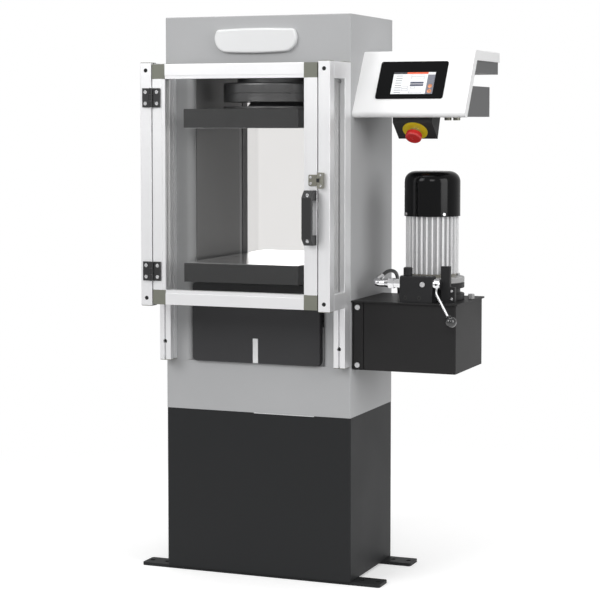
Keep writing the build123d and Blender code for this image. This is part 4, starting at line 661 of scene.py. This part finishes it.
def valve_hardware():
    """Screws in the flat column, a plug in the block, the hub's set screw, and a black disc of painted
    shade in the hub's end recess.
    """
    for name, z in (("upper", 0.7365), ("lower", 0.7175)):
        at = (COLUMN_SCREW_X, COLUMN_FRONT_Y, z)
        socket_head(f"column_screw_{name}", at, FORWARD, "frame", "screw_steel", 6.5 * MM, 2 * MM)
    plug = [(0.0, 0.0), (6.5 * MM, 0.0), (6.5 * MM, 2.2 * MM), (5.8 * MM, 3 * MM)]
    plug += [(3.2 * MM, 3 * MM), (3.0 * MM, 1 * MM), (0.0, 1 * MM)]
    plug_mesh = lathe("block_plug", plug, looking(BLOCK_PLUG, FORWARD))
    piece("block_plug", plug_mesh, "frame", "screw_steel", bevel=0.2 * MM)
    # painted shade: a flat black disc stands for the shade inside the hub's end recess
    ring = [(0.0, -0.2 * MM), (7.2 * MM, -0.2 * MM), (7.2 * MM, 0.35 * MM)]
    ring += [(6.6 * MM, 0.5 * MM), (0.0, 0.5 * MM)]
    ring_mesh = lathe("hub_end_recess_shade", ring, looking((HUB_END_X, HUB_Y, HUB_Z), (1, 0, 0)))
    piece("hub_end_recess_shade", ring_mesh, "lever", "hinge_black")
    pin = [(0.0, 0.0), (2.6 * MM, 0.0), (2.6 * MM, 0.5 * MM), (1.6 * MM, 0.6 * MM), (0.0, 0.6 * MM)]
    pin_mesh = lathe("hub_set_screw", pin, looking((HUB_MIDDLE_X, HUB_Y - HUB_RADIUS, HUB_Z), FORWARD), 20)
    piece("hub_set_screw", pin_mesh, "lever", "hinge_black")


def pedestal_strip():
    """Thin light edge that shows along the top of the pedestal's front."""
    place = looking((0.073, -0.155, 0.4162), FORWARD)
    strip = prism("pedestal_top_strip", rounded(0.162, 0.0016, 0.0006), 0.0009, place)
    piece("pedestal_top_strip", strip, "frame", "badge_paint", bevel=0.0002)


def slot_strip():
    """Light strip just behind the slot in the apron cover. It stands for the light grey body seen through
    the slot, made whiter and set nearer than the body so that it shows lit and unshaded: painted light.
    """
    low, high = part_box("apron_cover")
    # painted light: the white strip sits close behind the sheet so no shade falls on what shows through
    # the slot
    place = looking((0.0, low.y + 1.6 * MM, low.z + 31.6 * MM), FORWARD)
    strip = prism("apron_slot_lit_fill", rounded(14.4 * MM, 61.5 * MM, 0.8 * MM), 1.0 * MM, place)
    piece("apron_slot_lit_fill", strip, "frame", "badge_paint", bevel=0.2 * MM)


def motor_bolts():
    """Hexagon screws that hold the motor flange on the bell housing."""
    top, bolt_radius = 0.765, 0.071
    for i in range(4):
        turn = math.radians(45 + 90 * i)
        at = (MOTOR[0] + bolt_radius * math.cos(turn), MOTOR[1] + bolt_radius * math.sin(turn), top)
        head = prism(f"flange_screw_{i}", regular(6, 11 * MM), 5.5 * MM, looking(at, (0, 0, 1), (0, 1, 0)))
        piece(f"flange_screw_{i}", head, "frame", "screw_steel", bevel=0.5 * MM, smooth=False)


post_caps()
latch_hardware()
valve_hardware()
pedestal_strip()
slot_strip()
motor_bolts()


# Studio
def studio_floor():
    """White floor that takes the part's shadow close by and is lost in the white further out."""
    f = Finish("floor")
    x, y, z = f.axes()
    far = (((x - 0.1) ** 2.0 + (y * 0.9) ** 2.0) ** 0.5).rise(0.7, 1.9)
    seen = f.node("LightPath", output="Is Camera Ray")
    glossy = f.node("LightPath", output="Is Glossy Ray")
    dust = f.noise(40.0, 3.0)
    base = f.mix(far, f.tones((0.80, 0.80, 0.80), 0.01, dust), (0.0, 0.0, 0.0))
    glow = (seen + glossy).clamp() * (far * 0.62 + 0.38)
    white = f.mix(glow, (0.0, 0.0, 0.0), (1.0, 1.0, 1.0))
    material = f.done(f.surface(
        Base_Color=base,
        Roughness=0.9,
        Specular_IOR_Level=0.0,
        Emission_Color=white,
        Emission_Strength=1.0,
    ))
    reach = 7
    corners = [(-reach, -reach, 0), (reach, -reach, 0), (reach, reach, 0), (-reach, reach, 0)]
    floor = bpy.data.objects.new("floor", mesh_of("floor", corners, [(0, 1, 2, 3)]))
    floor.data.materials.append(material)
    bpy.context.scene.collection.objects.link(floor)


def studio_light():
    """White surroundings, dimmer for everything but what the camera sees straight on."""
    world = bpy.data.worlds.new("studio")
    bpy.context.scene.world = world
    world.use_nodes = True
    tree = world.node_tree
    tree.nodes.clear()
    path = tree.nodes.new("ShaderNodeLightPath")
    seen = Wire(tree, path.outputs["Is Camera Ray"])
    background = tree.nodes.new("ShaderNodeBackground")
    background.inputs["Color"].default_value = (1.0, 1.0, 1.0, 1.0)
    put(tree, background.inputs["Strength"], 0.55 + seen * 0.45)
    out = tree.nodes.new("ShaderNodeOutputWorld")
    tree.links.new(background.outputs[0], out.inputs[0])


def lamp(name, at, aim, size, watts, seen=True):
    """Rectangular lamp at one point, aimed at another, left out of the camera's view unless seen."""
    light = bpy.data.lights.new(name, "AREA")
    light.shape = "RECTANGLE"
    light.size, light.size_y = size
    light.energy = watts
    made = bpy.data.objects.new(name, light)
    bpy.context.scene.collection.objects.link(made)
    made.matrix_world = looking(at, Vector(at) - Vector(aim))
    made.visible_camera = seen


def camera():
    """The photograph's view, fitted to the part's edges."""
    data = bpy.data.cameras.new("camera")
    data.lens = 110.505
    data.sensor_width = 36.0
    data.shift_y = -0.10
    data.clip_end = 60.0
    made = bpy.data.objects.new("camera", data)
    bpy.context.scene.collection.objects.link(made)
    turn, pitch = 0.381364, math.radians(3.557)
    ahead = Vector((-math.sin(turn) * math.cos(pitch), math.cos(turn) * math.cos(pitch), -math.sin(pitch)))
    made.matrix_world = looking((1.807743, -4.372612, 1.136616), -ahead)
    bpy.context.scene.camera = made


studio_floor()
studio_light()
lamp("key", (-1.6, -2.9, 2.6), (0.0, 0.0, 0.8), (1.8, 1.8), 47)
lamp("right_fill", (3.2, -1.2, 1.8), (0.2, 0.0, 0.9), (1.6, 2.2), 40)
lamp("top", (0.2, -0.2, 3.4), (0.1, 0.0, 0.0), (2.4, 2.0), 24)
lamp("front_fill", (1.3, -3.0, 2.2), (0.35, -0.1, 1.15), (1.0, 1.0), 15)
lamp("platen_glint", (-0.52, 1.62, 0.93), (0.05, 0.15, 0.80), (0.5, 0.2), 1.3, seen=False)
camera()
bpy.context.scene.view_settings.view_transform = "Standard"
